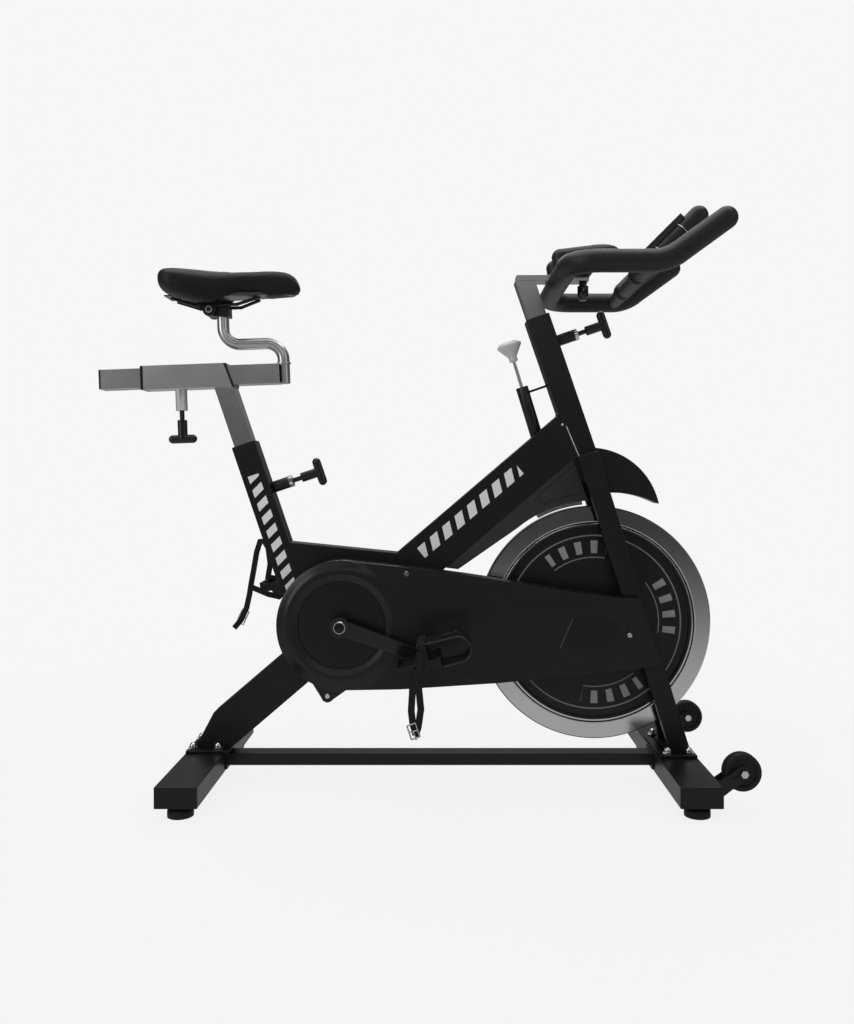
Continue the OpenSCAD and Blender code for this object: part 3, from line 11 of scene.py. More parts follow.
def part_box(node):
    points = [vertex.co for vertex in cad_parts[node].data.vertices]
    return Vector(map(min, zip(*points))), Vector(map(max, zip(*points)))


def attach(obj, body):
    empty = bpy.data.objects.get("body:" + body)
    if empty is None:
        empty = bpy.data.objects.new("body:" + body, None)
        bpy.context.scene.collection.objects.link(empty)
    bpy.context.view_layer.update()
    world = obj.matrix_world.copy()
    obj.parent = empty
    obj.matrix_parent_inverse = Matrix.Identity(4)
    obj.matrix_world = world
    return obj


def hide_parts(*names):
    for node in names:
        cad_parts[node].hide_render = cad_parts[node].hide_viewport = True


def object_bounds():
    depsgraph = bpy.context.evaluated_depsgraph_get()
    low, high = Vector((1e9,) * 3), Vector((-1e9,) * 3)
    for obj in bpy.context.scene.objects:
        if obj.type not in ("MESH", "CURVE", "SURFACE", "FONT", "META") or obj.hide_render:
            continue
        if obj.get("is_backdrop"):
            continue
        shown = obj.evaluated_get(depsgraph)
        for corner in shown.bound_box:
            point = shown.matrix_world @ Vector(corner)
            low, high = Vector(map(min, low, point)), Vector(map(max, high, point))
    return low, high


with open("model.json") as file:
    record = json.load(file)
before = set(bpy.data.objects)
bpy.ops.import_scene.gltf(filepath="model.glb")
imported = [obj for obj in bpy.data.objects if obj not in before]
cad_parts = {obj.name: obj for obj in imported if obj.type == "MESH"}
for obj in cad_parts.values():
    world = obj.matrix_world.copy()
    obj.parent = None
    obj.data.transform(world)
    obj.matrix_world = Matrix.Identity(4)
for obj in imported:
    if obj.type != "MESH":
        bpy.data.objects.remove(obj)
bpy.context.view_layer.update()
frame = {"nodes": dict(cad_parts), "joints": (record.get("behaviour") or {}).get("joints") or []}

# ---------------------------------------------------------------------------
# Frame: square steel tubes, welded and powder-coated satin black. The coat
# rounds every edge a little and has a fine orange peel and faint smears.
# ---------------------------------------------------------------------------


class Val:
    """A socket's value that can be added, scaled and compared like a number."""

    def __init__(self, nodes, out):
        self.nodes, self.out = nodes, out

    def other(self, out):
        """Another output of the same node."""
        return Val(self.nodes, self.out.node.outputs[out])

    def _math(self, operation, *others):
        return self.nodes.add("ShaderNodeMath", {"operation": operation}, self, *others)

    def __add__(self, b):
        return self._math("ADD", b)

    def __mul__(self, b):
        return self._math("MULTIPLY", b)

    __radd__, __rmul__ = __add__, __mul__

    def __sub__(self, b):
        return self._math("SUBTRACT", b)

    def __rsub__(self, b):
        return self * -1.0 + b

    def __truediv__(self, b):
        return self._math("DIVIDE", b)

    def __abs__(self):
        return self._math("ABSOLUTE")

    def sin(self):
        return self._math("SINE")

    def sqrt(self):
        return self._math("SQRT")

    def frac(self):
        return self._math("FRACT")

    def atan2(self, b):
        return self._math("ARCTAN2", b)

    def step(self, start, end):
        """0 on the start side and 1 on the end side, smooth between."""
        low, high = min(start, end), max(start, end)
        ends = (0.0, 1.0) if start < end else (1.0, 0.0)
        return self.nodes.add("ShaderNodeMapRange", {"interpolation_type": "SMOOTHSTEP"},
                              self, low, high, *ends)

    def band(self, middle, half, soft):
        """1 within half of middle, falling to 0 over soft."""
        return abs(self - middle).step(half + soft, half)


class Nodes:
    """A node tree. Every node comes from add."""

    def __init__(self, tree):
        self.tree = tree

    def add(self, kind, settings, *values, out=0, **named):
        """Adds a node with its settings, then the values or links of its sockets."""
        node = self.tree.nodes.new(kind)
        for key, value in settings.items():
            setattr(node, key, value)
        for socket, value in zip(node.inputs, values):
            self.feed(socket, value)
        for key, value in named.items():
            self.feed(node.inputs[key], value)
        return Val(self, node.outputs[out]) if node.outputs else None

    def feed(self, socket, value):
        if isinstance(value, Val):
            self.tree.links.new(value.out, socket)
        else:
            socket.default_value = value


class Mat(Nodes):
    """A node material on object coordinates; constants go straight on the shader."""

    def __init__(self, name, color, rough, metal=0.0, **constants):
        self.data = bpy.data.materials.new(name)
        self.data.use_nodes = True
        super().__init__(self.data.node_tree)
        self.shader = self.tree.nodes["Principled BSDF"]
        self.color, self.heights = tuple(color), []
        self.put("Base Color", (*color, 1.0))
        self.put("Roughness", rough)
        self.put("Metallic", metal)
        for key, value in constants.items():
            self.put(key.replace("_", " "), value)
        self.at = self.add("ShaderNodeTexCoord", {}, out="Object")
        self.x = self.add("ShaderNodeSeparateXYZ", {}, self.at)
        self.y, self.z = self.x.other(1), self.x.other(2)

    def put(self, socket, value):
        self.feed(self.shader.inputs[socket], value)

    def vector(self, x, y, z):
        return self.add("ShaderNodeCombineXYZ", {}, x, y, z)

    def noise(self, scale, detail=2.0, at=None):
        return self.add("ShaderNodeTexNoise", {}, Vector=at or self.at, Scale=scale, Detail=detail)

    def cells(self, scale, feature="F1"):
        return self.add("ShaderNodeTexVoronoi", {"feature": feature}, out="Distance",
                        Vector=self.at, Scale=scale)

    def mix(self, factor, a, b):
        """Colour a where factor is 0 and b where it is 1."""
        mixed = self.add("ShaderNodeMix", {"data_type": "RGBA"}, factor, out=2)
        for socket, value in zip(mixed.out.node.inputs[6:8], (a, b)):
            self.feed(socket, value if isinstance(value, Val) else (*value, 1.0))
        return mixed

    def paint(self, factor, color):
        """Lays color over what the shader has, where factor is 1."""
        socket = self.shader.inputs["Base Color"]
        under = Val(self, socket.links[0].from_socket) if socket.is_linked else self.color
        self.put("Base Color", self.mix(factor, under, color))

    def relief(self, height, depth):
        """Adds a bump of that depth in metres; height runs from 0 to 1."""
        self.heights.append(height * depth)
        return self

    def done(self):
        """Joins the bumps and returns the finished material."""
        if self.heights:
            height = self.heights[0]
            for more in self.heights[1:]:
                height = height + more
            bump = self.add("ShaderNodeBump", {}, out="Normal", Height=height, Strength=1.0, Distance=1.0)
            self.put("Normal", bump)
        return self.data


def dress(finish, *names):
    """Gives CAD nodes that finish."""
    for name in names:
        slots = frame["nodes"][name].data.materials
        slots.clear()
        slots.append(finish)


def soften(radius, *names):
    """Rounds the sharp edges of CAD nodes by that radius in metres."""
    for name in names:
        obj = frame["nodes"][name]
        weld = obj.modifiers.new("weld", "WELD")
        weld.merge_threshold = 0.00002
        bevel = obj.modifiers.new("bevel", "BEVEL")
        bevel.width, bevel.segments = radius, 2
        bevel.limit_method, bevel.angle_limit = "ANGLE", math.radians(50)
        bevel.harden_normals = True


BLACK = (0.0052, 0.0052, 0.0055)
TUBE_EDGE = 0.0012                           # outside radius of the tubes' edges


def powder_coat(name, color=BLACK, rough=0.36):
    m = Mat(name, color, rough, Specular_IOR_Level=0.32, Coat_Weight=0.08, Coat_Roughness=0.25)
    m.put("Roughness", m.noise(14.0, 3.0) * 0.16 + (rough - 0.07))
    m.paint(m.noise(6.0, 2.0).step(0.45, 0.85) * 0.5, tuple(c * 1.5 for c in color))
    return m.relief(m.noise(620.0, 1.0), 0.000035)


coat = powder_coat("powder_coat").done()
TUBES = ["rear_stabilizer", "front_stabilizer", "base_tube", "rear_leg", "frame_gusset", "head_tube",
         "fork_leg_right", "fork_leg_left", "front_foot_plate"]
dress(coat, *TUBES)
soften(TUBE_EDGE, *TUBES)

# ---------------------------------------------------------------------------
# Seat tube and main beam: two more coated tubes. Plain white slanted bars are
# screen-printed over the coat on their right-hand faces, a little worn.
# ---------------------------------------------------------------------------
JOINTS = {joint["name"]: joint for joint in frame["joints"]}


def lean_of(slide):
    """How far a slide's axis leans back from upright, in the side view."""
    ahead, _, up = JOINTS[slide]["axis"]
    return math.atan2(-ahead, up)


BB = Vector(JOINTS["crank_spin"]["pos_m"])   # bottom bracket
SEAT_TOP = Vector((-0.357, 0.0, 0.703))      # top end of the seat tube, on its axis
SEAT_LEAN, BEAM_SLOPE = lean_of("seat_height"), math.radians(40.5)
HALF = 0.025                                 # half the width of the square tubes
WHITE = (0.90, 0.90, 0.90)


def printed(m, bars, span):
    """Prints bars within span on the right-hand face alone."""
    m.paint(bars * span * m.y.step(0.0010 - HALF, 0.0004 - HALF) * 0.95, WHITE)
    return m.done()


seat_print = powder_coat("seat_tube_print")
dx, dz = seat_print.x - SEAT_TOP.x, seat_print.z - SEAT_TOP.z
down = dx * math.sin(SEAT_LEAN) - dz * math.cos(SEAT_LEAN)
side = dx * math.cos(SEAT_LEAN) + dz * math.sin(SEAT_LEAN)
bars = ((down + side * 0.5) / 0.030).frac().step(0.56, 0.54)
span = down.step(0.066, 0.067) * down.step(0.337, 0.336) * side.band(-0.001, 0.0115, 0.0004)
dress(printed(seat_print, bars, span), "seat_tube")

beam_print = powder_coat("beam_print")
dx, dz = beam_print.x - BB.x, beam_print.z - BB.z
up = dx * math.cos(BEAM_SLOPE) + dz * math.sin(BEAM_SLOPE)
over = dz * math.cos(BEAM_SLOPE) - dx * math.sin(BEAM_SLOPE) + 0.008
bars = ((up - over * 0.5) / 0.034).frac().step(0.60, 0.58)
span = up.step(0.215, 0.216) * up.step(0.487, 0.486) * over.band(0.012, 0.013, 0.0004)
dress(printed(beam_print, bars, span), "main_beam")
soften(TUBE_EDGE, "seat_tube", "main_beam")

# ---------------------------------------------------------------------------
# Weld beads: rippled fillets of weld metal where the tubes meet, coated with
# the frame. Each is a row of slightly uneven drops along a straight run.
# ---------------------------------------------------------------------------
HEAD_LEAN = lean_of("handlebar_height")
HEAD_TOP = Vector((0.2587, 0.0, 0.970))      # top end of the head tube, on its axis
BEAM_OVER, BEAM_UNDER = 0.037, 0.053         # from the bottom bracket square to the beam's two faces
BASE_HALF, BASE_LOW, BASE_HIGH = 0.020, 0.032, 0.057        # sides of the low tube between the stabilisers


def smooth(mesh, angle=40):
    """Smooth shading, with edges sharper than angle in degrees kept."""
    mesh.shade_smooth()
    mesh.set_sharp_from_angle(angle=math.radians(angle))


def piece(name, mesh, finish, slot, body, *stands_for):
    """Makes mesh a finished piece that rides on a body of the bike."""
    mesh.materials.clear()
    mesh.materials.append(finish)
    obj = bpy.data.objects.new(name, mesh)
    bpy.context.scene.collection.objects.link(obj)
    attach(obj, body)
    if stands_for:
        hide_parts(*stands_for)
    return obj


def lines_curve(name, runs, closed=False):
    """A curve object with one poly spline for each list of points."""
    data = bpy.data.curves.new(name, "CURVE")
    data.dimensions = "3D"
    for run in runs:
        spline = data.splines.new("POLY")
        spline.points.add(len(run) - 1)
        spline.use_cyclic_u = closed
        for point, place in zip(spline.points, run):
            point.co = (*place, 1.0)
    obj = bpy.data.objects.new(name, data)
    bpy.context.scene.collection.objects.link(obj)
    return obj


def grown(obj, tree, **sizes):
    """The plain mesh that a Geometry Nodes tree makes from obj, with its named inputs set."""
    modifier = obj.modifiers.new("grow", "NODES")
    modifier.node_group = tree
    for item in tree.interface.items_tree:
        if item.in_out == "INPUT" and item.name in sizes:
            modifier[item.identifier] = sizes[item.name]
    view = bpy.context.evaluated_depsgraph_get()
    mesh = bpy.data.meshes.new_from_object(obj.evaluated_get(view))
    obj.modifiers.remove(modifier)
    bpy.data.objects.remove(obj)
    return mesh


class Recipe(Nodes):
    """A Geometry Nodes tree with a geometry in and out and one named input for each size."""

    def __init__(self, name, **sizes):
        super().__init__(bpy.data.node_groups.new(name, "GeometryNodeTree"))
        face = self.tree.interface
        face.new_socket("Geometry", in_out="INPUT", socket_type="NodeSocketGeometry")
        for key, size in sizes.items():
            kind = "NodeSocketInt" if isinstance(size, int) else "NodeSocketFloat"
            face.new_socket(key, in_out="INPUT", socket_type=kind).default_value = size
        face.new_socket("Geometry", in_out="OUTPUT", socket_type="NodeSocketGeometry")
        given = self.add("NodeGroupInput", {}).out.node
        self.given = {socket.name: Val(self, socket) for socket in given.outputs}

    def made(self, copies, finish):
        """Turns the copies into real geometry of that finish and closes the tree."""
        real = self.add("GeometryNodeRealizeInstances", {}, copies)
        painted = self.add("GeometryNodeSetMaterial", {}, real, Material=finish)
        self.add("NodeGroupOutput", {}, painted)
        return self.tree


def drops_tree(finish):
    """Curve in, a row of uneven drops out: inputs Pitch and Radius."""
    row = Recipe("row_of_drops", Pitch=0.003, Radius=0.0026)
    points = row.add("GeometryNodeCurveToPoints", {"mode": "LENGTH"}, Curve=row.given["Geometry"],
                     Length=row.given["Pitch"])
    drop = row.add("GeometryNodeMeshIcoSphere", {}, Radius=row.given["Radius"], Subdivisions=2)
    uneven = row.add("FunctionNodeRandomValue", {"data_type": "FLOAT"}, (0, 0, 0), (1, 1, 1), 0.85, 1.12,
                     out=1, Seed=7)
    drops = row.add("GeometryNodeInstanceOnPoints", {}, Points=points, Instance=drop, Scale=uneven)
    return row.made(drops, finish)


def crossing(p, a, q, b):
    """Where the line through p along a meets the line through q along b, in the side view."""
    across = a[0] * b[1] - a[1] * b[0]
    t = ((q[0] - p[0]) * b[1] - (q[1] - p[1]) * b[0]) / across
    return p[0] + a[0] * t, p[1] + a[1] * t


def across_axis(top, lean, out):
    """A point out from a leaning tube's axis at its top end, in the side view."""
    return top.x + out * math.cos(lean), top.z + out * math.sin(lean)


along = (math.cos(BEAM_SLOPE), math.sin(BEAM_SLOPE))
seat_down = (math.sin(SEAT_LEAN), -math.cos(SEAT_LEAN))
head_down = (math.sin(HEAD_LEAN), -math.cos(HEAD_LEAN))
over_beam = (BB.x - along[1] * BEAM_OVER, BB.z + along[0] * BEAM_OVER)
under_beam = (BB.x + along[1] * BEAM_UNDER, BB.z - along[0] * BEAM_UNDER)
rear, ahead = (crossing(across_axis(SEAT_TOP, SEAT_LEAN, out), seat_down, over_beam, along)
               for out in (-HALF, HALF))
runs = [[(rear[0], y, rear[1]), (ahead[0], y, ahead[1])] for y in (-HALF, HALF)]
runs += [[(x, -HALF, z), (x, HALF, z)] for x, z in (rear, ahead)]
for face in (over_beam, under_beam):
    x, z = crossing(across_axis(HEAD_TOP, HEAD_LEAN, -HALF), head_down, face, along)
    runs.append([(x, 0.001 - HALF, z), (x, HALF - 0.001, z)])
for end in (corner.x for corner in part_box("base_tube")):
    runs += [[(end, y, BASE_LOW), (end, y, BASE_HIGH)] for y in (-BASE_HALF, BASE_HALF)]
beads = grown(lines_curve("bead_runs", runs), drops_tree(coat), Pitch=0.0032, Radius=0.0024)
smooth(beads, 80)
piece("weld_beads", beads, coat, "frame_black", "frame")

# ---------------------------------------------------------------------------
# Chain guard: two moulded shells of black plastic, screwed to the frame. The
# skin has a fine spark-eroded grain and is scuffed where a shoe brushes it.
# ---------------------------------------------------------------------------
FLY = Vector(JOINTS["flywheel_spin"]["pos_m"])
PANEL_R = 0.0888                             # round panel let into the outer shell
EDGE_R = 0.137                               # where the rounding of its edge runs out, past its rear


def moulded(name, color=(0.0072, 0.0072, 0.0075), rough=0.44, grain=420.0, depth=0.00005, shine=0.30):
    """Moulded plastic: even black with paler wear and a fine grain."""
    m = Mat(name, color, rough, Specular_IOR_Level=shine)
    m.put("Roughness", m.noise(22.0, 3.0) * 0.14 + (rough - 0.06))
    m.paint(m.noise(9.0, 3.0).step(0.5, 0.9) * 0.4, tuple(c * 1.7 for c in color))
    return m.relief(m.cells(grain), depth)


def seen_from(m, centre):
    """Distances from a centre to the front and upwards, and the radius about it, as values."""
    dx, dz = m.x - centre.x, m.z - centre.z
    return dx, dz, (dx * dx + dz * dz).sqrt()


guard = moulded("guard_plastic", (0.0072, 0.0072, 0.0075), 0.34, 700.0, 0.00003, 0.36)
scuffs = guard.noise(1.0, 4.0, at=guard.vector(guard.x * 30.0, guard.y * 3.0, guard.z * 160.0))
scuffed = seen_from(guard, Vector((BB.x, 0.0, 0.30)))[2].step(0.20, 0.06)
guard.paint(scuffs.step(0.60, 0.72) * scuffed * 0.25, (0.03, 0.03, 0.03))
dx, dz, radius = seen_from(guard, BB)
outside = guard.y.step(-0.0700, -0.0710)
guard.relief(radius.step(0.110, EDGE_R) * dx.step(0.12, -0.02) * outside, -0.0115)     # rounded outer edge
guard.relief(radius.step(0.1045, 0.0895) * outside, -0.0022)                            # fall to the panel
guard.relief(radius.band(PANEL_R + 0.0002, 0.0006, 0.0010) * outside, -0.0012)          # seam round the panel
guard.paint(radius.step(PANEL_R, PANEL_R - 0.0012) * outside * 0.75, (0.0030, 0.0030, 0.0031))
# painted highlight: the bevel round the panel drawn paler on its front half, where it catches the light
guard.paint(radius.band(0.0960, 0.0040, 0.0070) * dx.step(-0.05, 0.05) * outside * 0.5, (0.018, 0.018, 0.018))
# painted shade: a thin dark line in the seam round the panel, where shade falls in the step
guard.paint(radius.band(PANEL_R, 0.0006, 0.0008) * outside, (0.002, 0.002, 0.002))
dx, dz, radius = seen_from(guard, FLY)
slant = dx - dz * 0.43                       # the window's ends lean with the fork
window = slant.step(-0.0605, -0.0598) * slant.step(0.041, 0.039)
window = window * dz.step(-0.0420, -0.0413) * dz.step(0.0160, 0.0153)
guard.paint(window * outside * 0.7, (0.0035, 0.0035, 0.0035))
glint = slant.band(-0.0606, 0.0004, 0.0005) * dz.band(-0.0135, 0.0290, 0.0010)
guard.paint(glint * outside, (0.10, 0.10, 0.10))
dress(guard.done(), "chain_guard_outer", "chain_guard_inner", "front_mudguard")
soften(0.0014, "chain_guard_outer")
soften(0.0010, "chain_guard_inner", "front_mudguard")

# ---------------------------------------------------------------------------
# Cover under the beam: a hollow moulding of smoked grey plastic over the
# flywheel, with a contour line let into each side, drawn as a thin dark tube
# of painted shade.
# ---------------------------------------------------------------------------
COVER_SIDE = 0.0241

smoked = Mat("smoked_cover", (0.028, 0.028, 0.030), 0.24, Specular_IOR_Level=0.5, Coat_Weight=0.25,
             Coat_Roughness=0.08)
smoked.paint(smoked.noise(5.0, 2.0).step(0.3, 0.8) * 0.5, (0.046, 0.046, 0.049))
dress(smoked.relief(smoked.noise(200.0, 2.0), 0.00003).done(), "beam_cover")
soften(0.0012, "beam_cover")
# painted shade: near-black for the thin tubes that stand for the shade in the contour grooves
groove = moulded("contour_groove", (0.004, 0.004, 0.004), 0.6).done()


def tube_along(name, points, radius):
    """A mesh tube of that radius along points, with closed ends."""
    obj = lines_curve(name, [points])
    obj.data.bevel_depth, obj.data.bevel_resolution = radius, 3
    obj.data.use_fill_caps = True
    view = bpy.context.evaluated_depsgraph_get()
    mesh = bpy.data.meshes.new_from_object(obj.evaluated_get(view))
    bpy.data.objects.remove(obj)
    smooth(mesh, 60)
    return mesh


def arc(centre, radius, start, end, y, count=12):
    """Points of an arc in the side view, angles in degrees."""
    turns = np.radians(np.linspace(start, end, count))
    return [(centre[0] + radius * math.cos(a), y, centre[1] + radius * math.sin(a)) for a in turns]


for hand, y in (("right", -COVER_SIDE), ("left", COVER_SIDE)):
    contour = [(0.336, y, 0.6625), (0.283, y, 0.6175)]
    contour += arc((0.2785, 0.5935), 0.0165, 125, 262, y, 9)
    contour += arc((FLY.x, FLY.z), 0.2715, 113, 96, y, 14)
    piece("cover_contour_" + hand, tube_along("contour", contour, 0.0006), groove, "cover_grey", "frame")

# ---------------------------------------------------------------------------
# Bright line and clip at the head tube: a thin bright line of painted
# highlight beside the head tube, where a rounded edge catches the light, with
# one small round clip over it.
# ---------------------------------------------------------------------------
# pale, partly metallic: the colour of the painted highlight line, and of the clip
bright = Mat("bright_edge", (0.80, 0.80, 0.81), 0.35, 0.3)
bright.paint(bright.noise(160.0, 2.0).step(0.35, 0.7) * 0.5, (0.38, 0.38, 0.39))
bright = bright.done()
# painted highlight: a thin bright tube standing for the light along a rounded edge
edge = tube_along("edge", [(0.3178, -HALF, 0.7423), (0.3446, -HALF, 0.679)], 0.0010)
piece("cover_edge_line", edge, bright, "machined_steel", "frame")


def lathe(name, profile, centre, axis, steps=48, angle=40):
    """A closed turned body; profile lists (radius, height) along axis, from tip to tip."""
    turn = Vector((0, 0, 1)).rotation_difference(Vector(axis).normalized()).to_matrix()
    bm = bmesh.new()
    rings = []
    for radius, height in profile:
        ring = []
        for i in range(steps if radius > 0 else 1):
            a = 2 * math.pi * i / steps
            spot = Vector((radius * math.cos(a), radius * math.sin(a), height))
            ring.append(bm.verts.new(Vector(centre) + turn @ spot))
        rings.append(ring)
    for low, high in zip(rings, rings[1:]):
        for i in range(steps):
            j = (i + 1) % steps
            corners = [low[i % len(low)], low[j % len(low)], high[j % len(high)], high[i % len(high)]]
            corners = list(dict.fromkeys(corners))
            if len(corners) > 2:
                bm.faces.new(corners)
    bmesh.ops.recalc_face_normals(bm, faces=bm.faces)
    mesh = bpy.data.meshes.new(name)
    bm.to_mesh(mesh)
    bm.free()
    smooth(mesh, angle)
    return mesh


clip = lathe("clip", [(0, 0), (0.0026, 0), (0.0026, 0.0008), (0.0018, 0.0018), (0, 0.0022)],
             (0.3099, -0.0248, 0.7455), (0, -1, 0), 20)
piece("cover_clip", clip, bright, "machined_steel", "frame")

# ---------------------------------------------------------------------------
# Guard screws: black steel socket screws with a domed head, at the top, at
# the flywheel's axle and in the lug below. One is turned and set out on all.
# ---------------------------------------------------------------------------
GUARD_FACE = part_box("chain_guard_outer")[0].y
SCREW_POINTS = ((BB, 0.133, 0.105), (FLY, 0.062, -0.017), (BB, -0.0275, -0.1435))


def copies_tree(part, finish):
    """Points in, one copy of a mesh object on each: inputs Size and Turn."""
    row = Recipe("row_of_" + part.name, Size=1.0, Turn=0.5)
    shape = row.add("GeometryNodeObjectInfo", {}, out="Geometry", Object=part)
    reach = row.add("ShaderNodeCombineXYZ", {}, Y=row.given["Turn"])
    turn = row.add("FunctionNodeRandomValue", {"data_type": "FLOAT_VECTOR"}, (0.0, 0.0, 0.0), reach, Seed=11)
    copies = row.add("GeometryNodeInstanceOnPoints", {}, Points=row.given["Geometry"], Instance=shape,
                     Rotation=turn, Scale=row.given["Size"])
    return row.made(copies, finish)


def points_object(name, places):
    mesh = bpy.data.meshes.new(name)
    mesh.from_pydata([tuple(p) for p in places], [], [])
    obj = bpy.data.objects.new(name, mesh)
    bpy.context.scene.collection.objects.link(obj)
    return obj


def copied(name, mesh, places, finish, turn=0.5):
    """Copies of mesh on places, each turned a little about Y."""
    model = bpy.data.objects.new(name + "_model", mesh)
    tree = copies_tree(model, finish)
    out = grown(points_object(name, places), tree, Size=1.0, Turn=turn)
    bpy.data.objects.remove(model)
    smooth(out, 35)
    return out


screw_black = Mat("screw_black", (0.012, 0.012, 0.012), 0.30, 0.7)
screw_black.put("Roughness", screw_black.noise(60.0, 2.0) * 0.15 + 0.25)
screw_black = screw_black.done()
screw = lathe("screw", [(0, 0.0001), (0.0018, 0.0001), (0.0022, 0.0012), (0.0034, 0.0014),
                        (0.0042, 0.0007), (0.0044, -0.0008), (0, -0.0008)], (0, 0, 0), (0, -1, 0), 24)
places = [(near.x + ahead, GUARD_FACE + 0.0001, near.z + up) for near, ahead, up in SCREW_POINTS]
screws = copied("guard_screws", screw, places, screw_black)
piece("guard_screws", screws, screw_black, "machined_steel", "frame")

# ---------------------------------------------------------------------------
# Bolts and axles: dome nuts and washers plated bright hold the stabilisers
# and wheels. The crank spindle is plated too; the flywheel's axle, the bottom
# bracket and the two chain wheels are turned steel.
# ---------------------------------------------------------------------------


def metal(name, color, rough, spread=0.05):
    """Plated or turned steel with faint wiping marks."""
    m = Mat(name, color, rough, 1.0)
    m.put("Roughness", m.noise(30.0, 3.0) * spread + (rough - spread / 2))
    m.paint(m.noise(5.0, 2.0).step(0.4, 0.9) * 0.25, tuple(c * 0.72 for c in color))
    return m


chrome = metal("chrome", (0.60, 0.60, 0.62), 0.10, 0.04).done()
steel = metal("steel", (0.42, 0.42, 0.43), 0.30, 0.12).done()
dress(chrome, "frame_bolts", "crank_spindle")
dress(steel, "flywheel_axle", "bottom_bracket", "chainring", "flywheel_sprocket")
soften(0.0005, "frame_bolts", "chainring", "flywheel_sprocket")

# ---------------------------------------------------------------------------
# Chain: a steel roller chain at half-inch pitch, closed round both chain
# wheels inside the guard. The rivets of its links stand out on both sides.
# ---------------------------------------------------------------------------
PITCH = 0.0127
CHAIN_Y = sum(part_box("chain"), Vector()).y / 2
RING_TEETH, SPROCKET_TEETH = 52, 20

chain_steel = metal("chain_steel", (0.30, 0.30, 0.31), 0.38, 0.12).done()
dress(chain_steel, "chain")
ring_r, sprocket_r = (PITCH / 2 / math.sin(math.pi / teeth) for teeth in (RING_TEETH, SPROCKET_TEETH))
reach = FLY.x - BB.x
lean = math.asin((ring_r - sprocket_r) / math.hypot(reach, FLY.z - BB.z))
fall = math.atan2(FLY.z - BB.z, reach)
loop = []
for centre, radius, start, end, count in (
        (BB, ring_r, math.pi / 2 - lean, 3 * math.pi / 2 + lean, 60),
        (FLY, sprocket_r, -math.pi / 2 + lean, math.pi / 2 - lean, 30)):
    for turn in np.linspace(start + fall, end + fall, count):
        loop.append((centre.x + radius * math.cos(turn), CHAIN_Y, centre.z + radius * math.sin(turn)))
places = np.array(loop + loop[:1])
lengths = np.concatenate([[0.0], np.cumsum(np.linalg.norm(np.diff(places, axis=0), axis=1))])
links = int(round(lengths[-1] / PITCH))
stations = np.arange(links) * lengths[-1] / links
rivets = np.stack([np.interp(stations, lengths, places[:, i]) for i in range(3)], axis=1)
rivet = lathe("rivet", [(0, -0.0046), (0.0017, -0.0046), (0.0019, -0.0042), (0.0019, 0.0042),
                        (0.0017, 0.0046), (0, 0.0046)], (0, 0, 0), (0, 1, 0), 12)
rivets = copied("chain_rivets", rivet, rivets, chain_steel, 0.0)
piece("chain_rivets", rivets, chain_steel, "machined_steel", "frame")

# ---------------------------------------------------------------------------
# Flywheel: a turned, plated rim round a cast black web. A groove runs beside
# the rim's inner edge, darkened with painted shade, with a painted highlight, a
# bright ring, just outside it; grey bars are printed on the web.
# ---------------------------------------------------------------------------
GROOVE_R, HIGHLIGHT_RING_R = 0.2085, 0.2114            # in the rim's side
BARS_R = 0.158                               # middle of the printed bars
PRINT_GREY = (0.26, 0.26, 0.265)

rim = metal("rim_plate", (0.62, 0.62, 0.63), 0.12, 0.04)
radius = seen_from(rim, FLY)[2]
rim.relief((radius * 5200.0).sin() * 0.5 + 0.5, 0.000005)       # turning marks
rim.relief(radius.band(GROOVE_R, 0.0010, 0.0010), -0.0006)
# painted shade: the groove darkened all round
rim.paint(radius.band(GROOVE_R, 0.0010, 0.0008), (0.03, 0.03, 0.03))
# painted highlight: a bright, less metallic ring just outside the groove
ring = radius.band(HIGHLIGHT_RING_R, 0.0007, 0.0005)
rim.paint(ring, (0.62, 0.62, 0.63))
rim.put("Metallic", 1.0 - ring * 0.7)
dress(rim.done(), "flywheel_rim")

web = powder_coat("web_paint", (0.0070, 0.0070, 0.0073), 0.32)
dx, dz, radius = seen_from(web, FLY)
angle = dz.atan2(dx)
turn = angle / (2 * math.pi) * 30.0 + 30.0
dash = (turn.frac() - 0.5).band(0.0, 0.20, 0.02)
sector = (angle * 4.0 + 0.6).sin().step(-0.10, -0.04)
web.paint(radius.band(BARS_R, 0.013, 0.0006) * dash * sector * 0.9, (0.36, 0.36, 0.365))
web.paint(radius.band(BARS_R + 0.024, 0.0012, 0.0005) * 0.8, PRINT_GREY)
web.paint(radius.band(BARS_R - 0.022, 0.0010, 0.0005) * sector * 0.8, PRINT_GREY)
dress(web.done(), "flywheel_web")
soften(0.0010, "flywheel_web")

# ---------------------------------------------------------------------------
# Cranks: forged arms in satin black with softened edges. A plated lock ring
# and a plastic dust cap close the bolt hole of each boss.
# ---------------------------------------------------------------------------
BOSS_Y = 0.1071

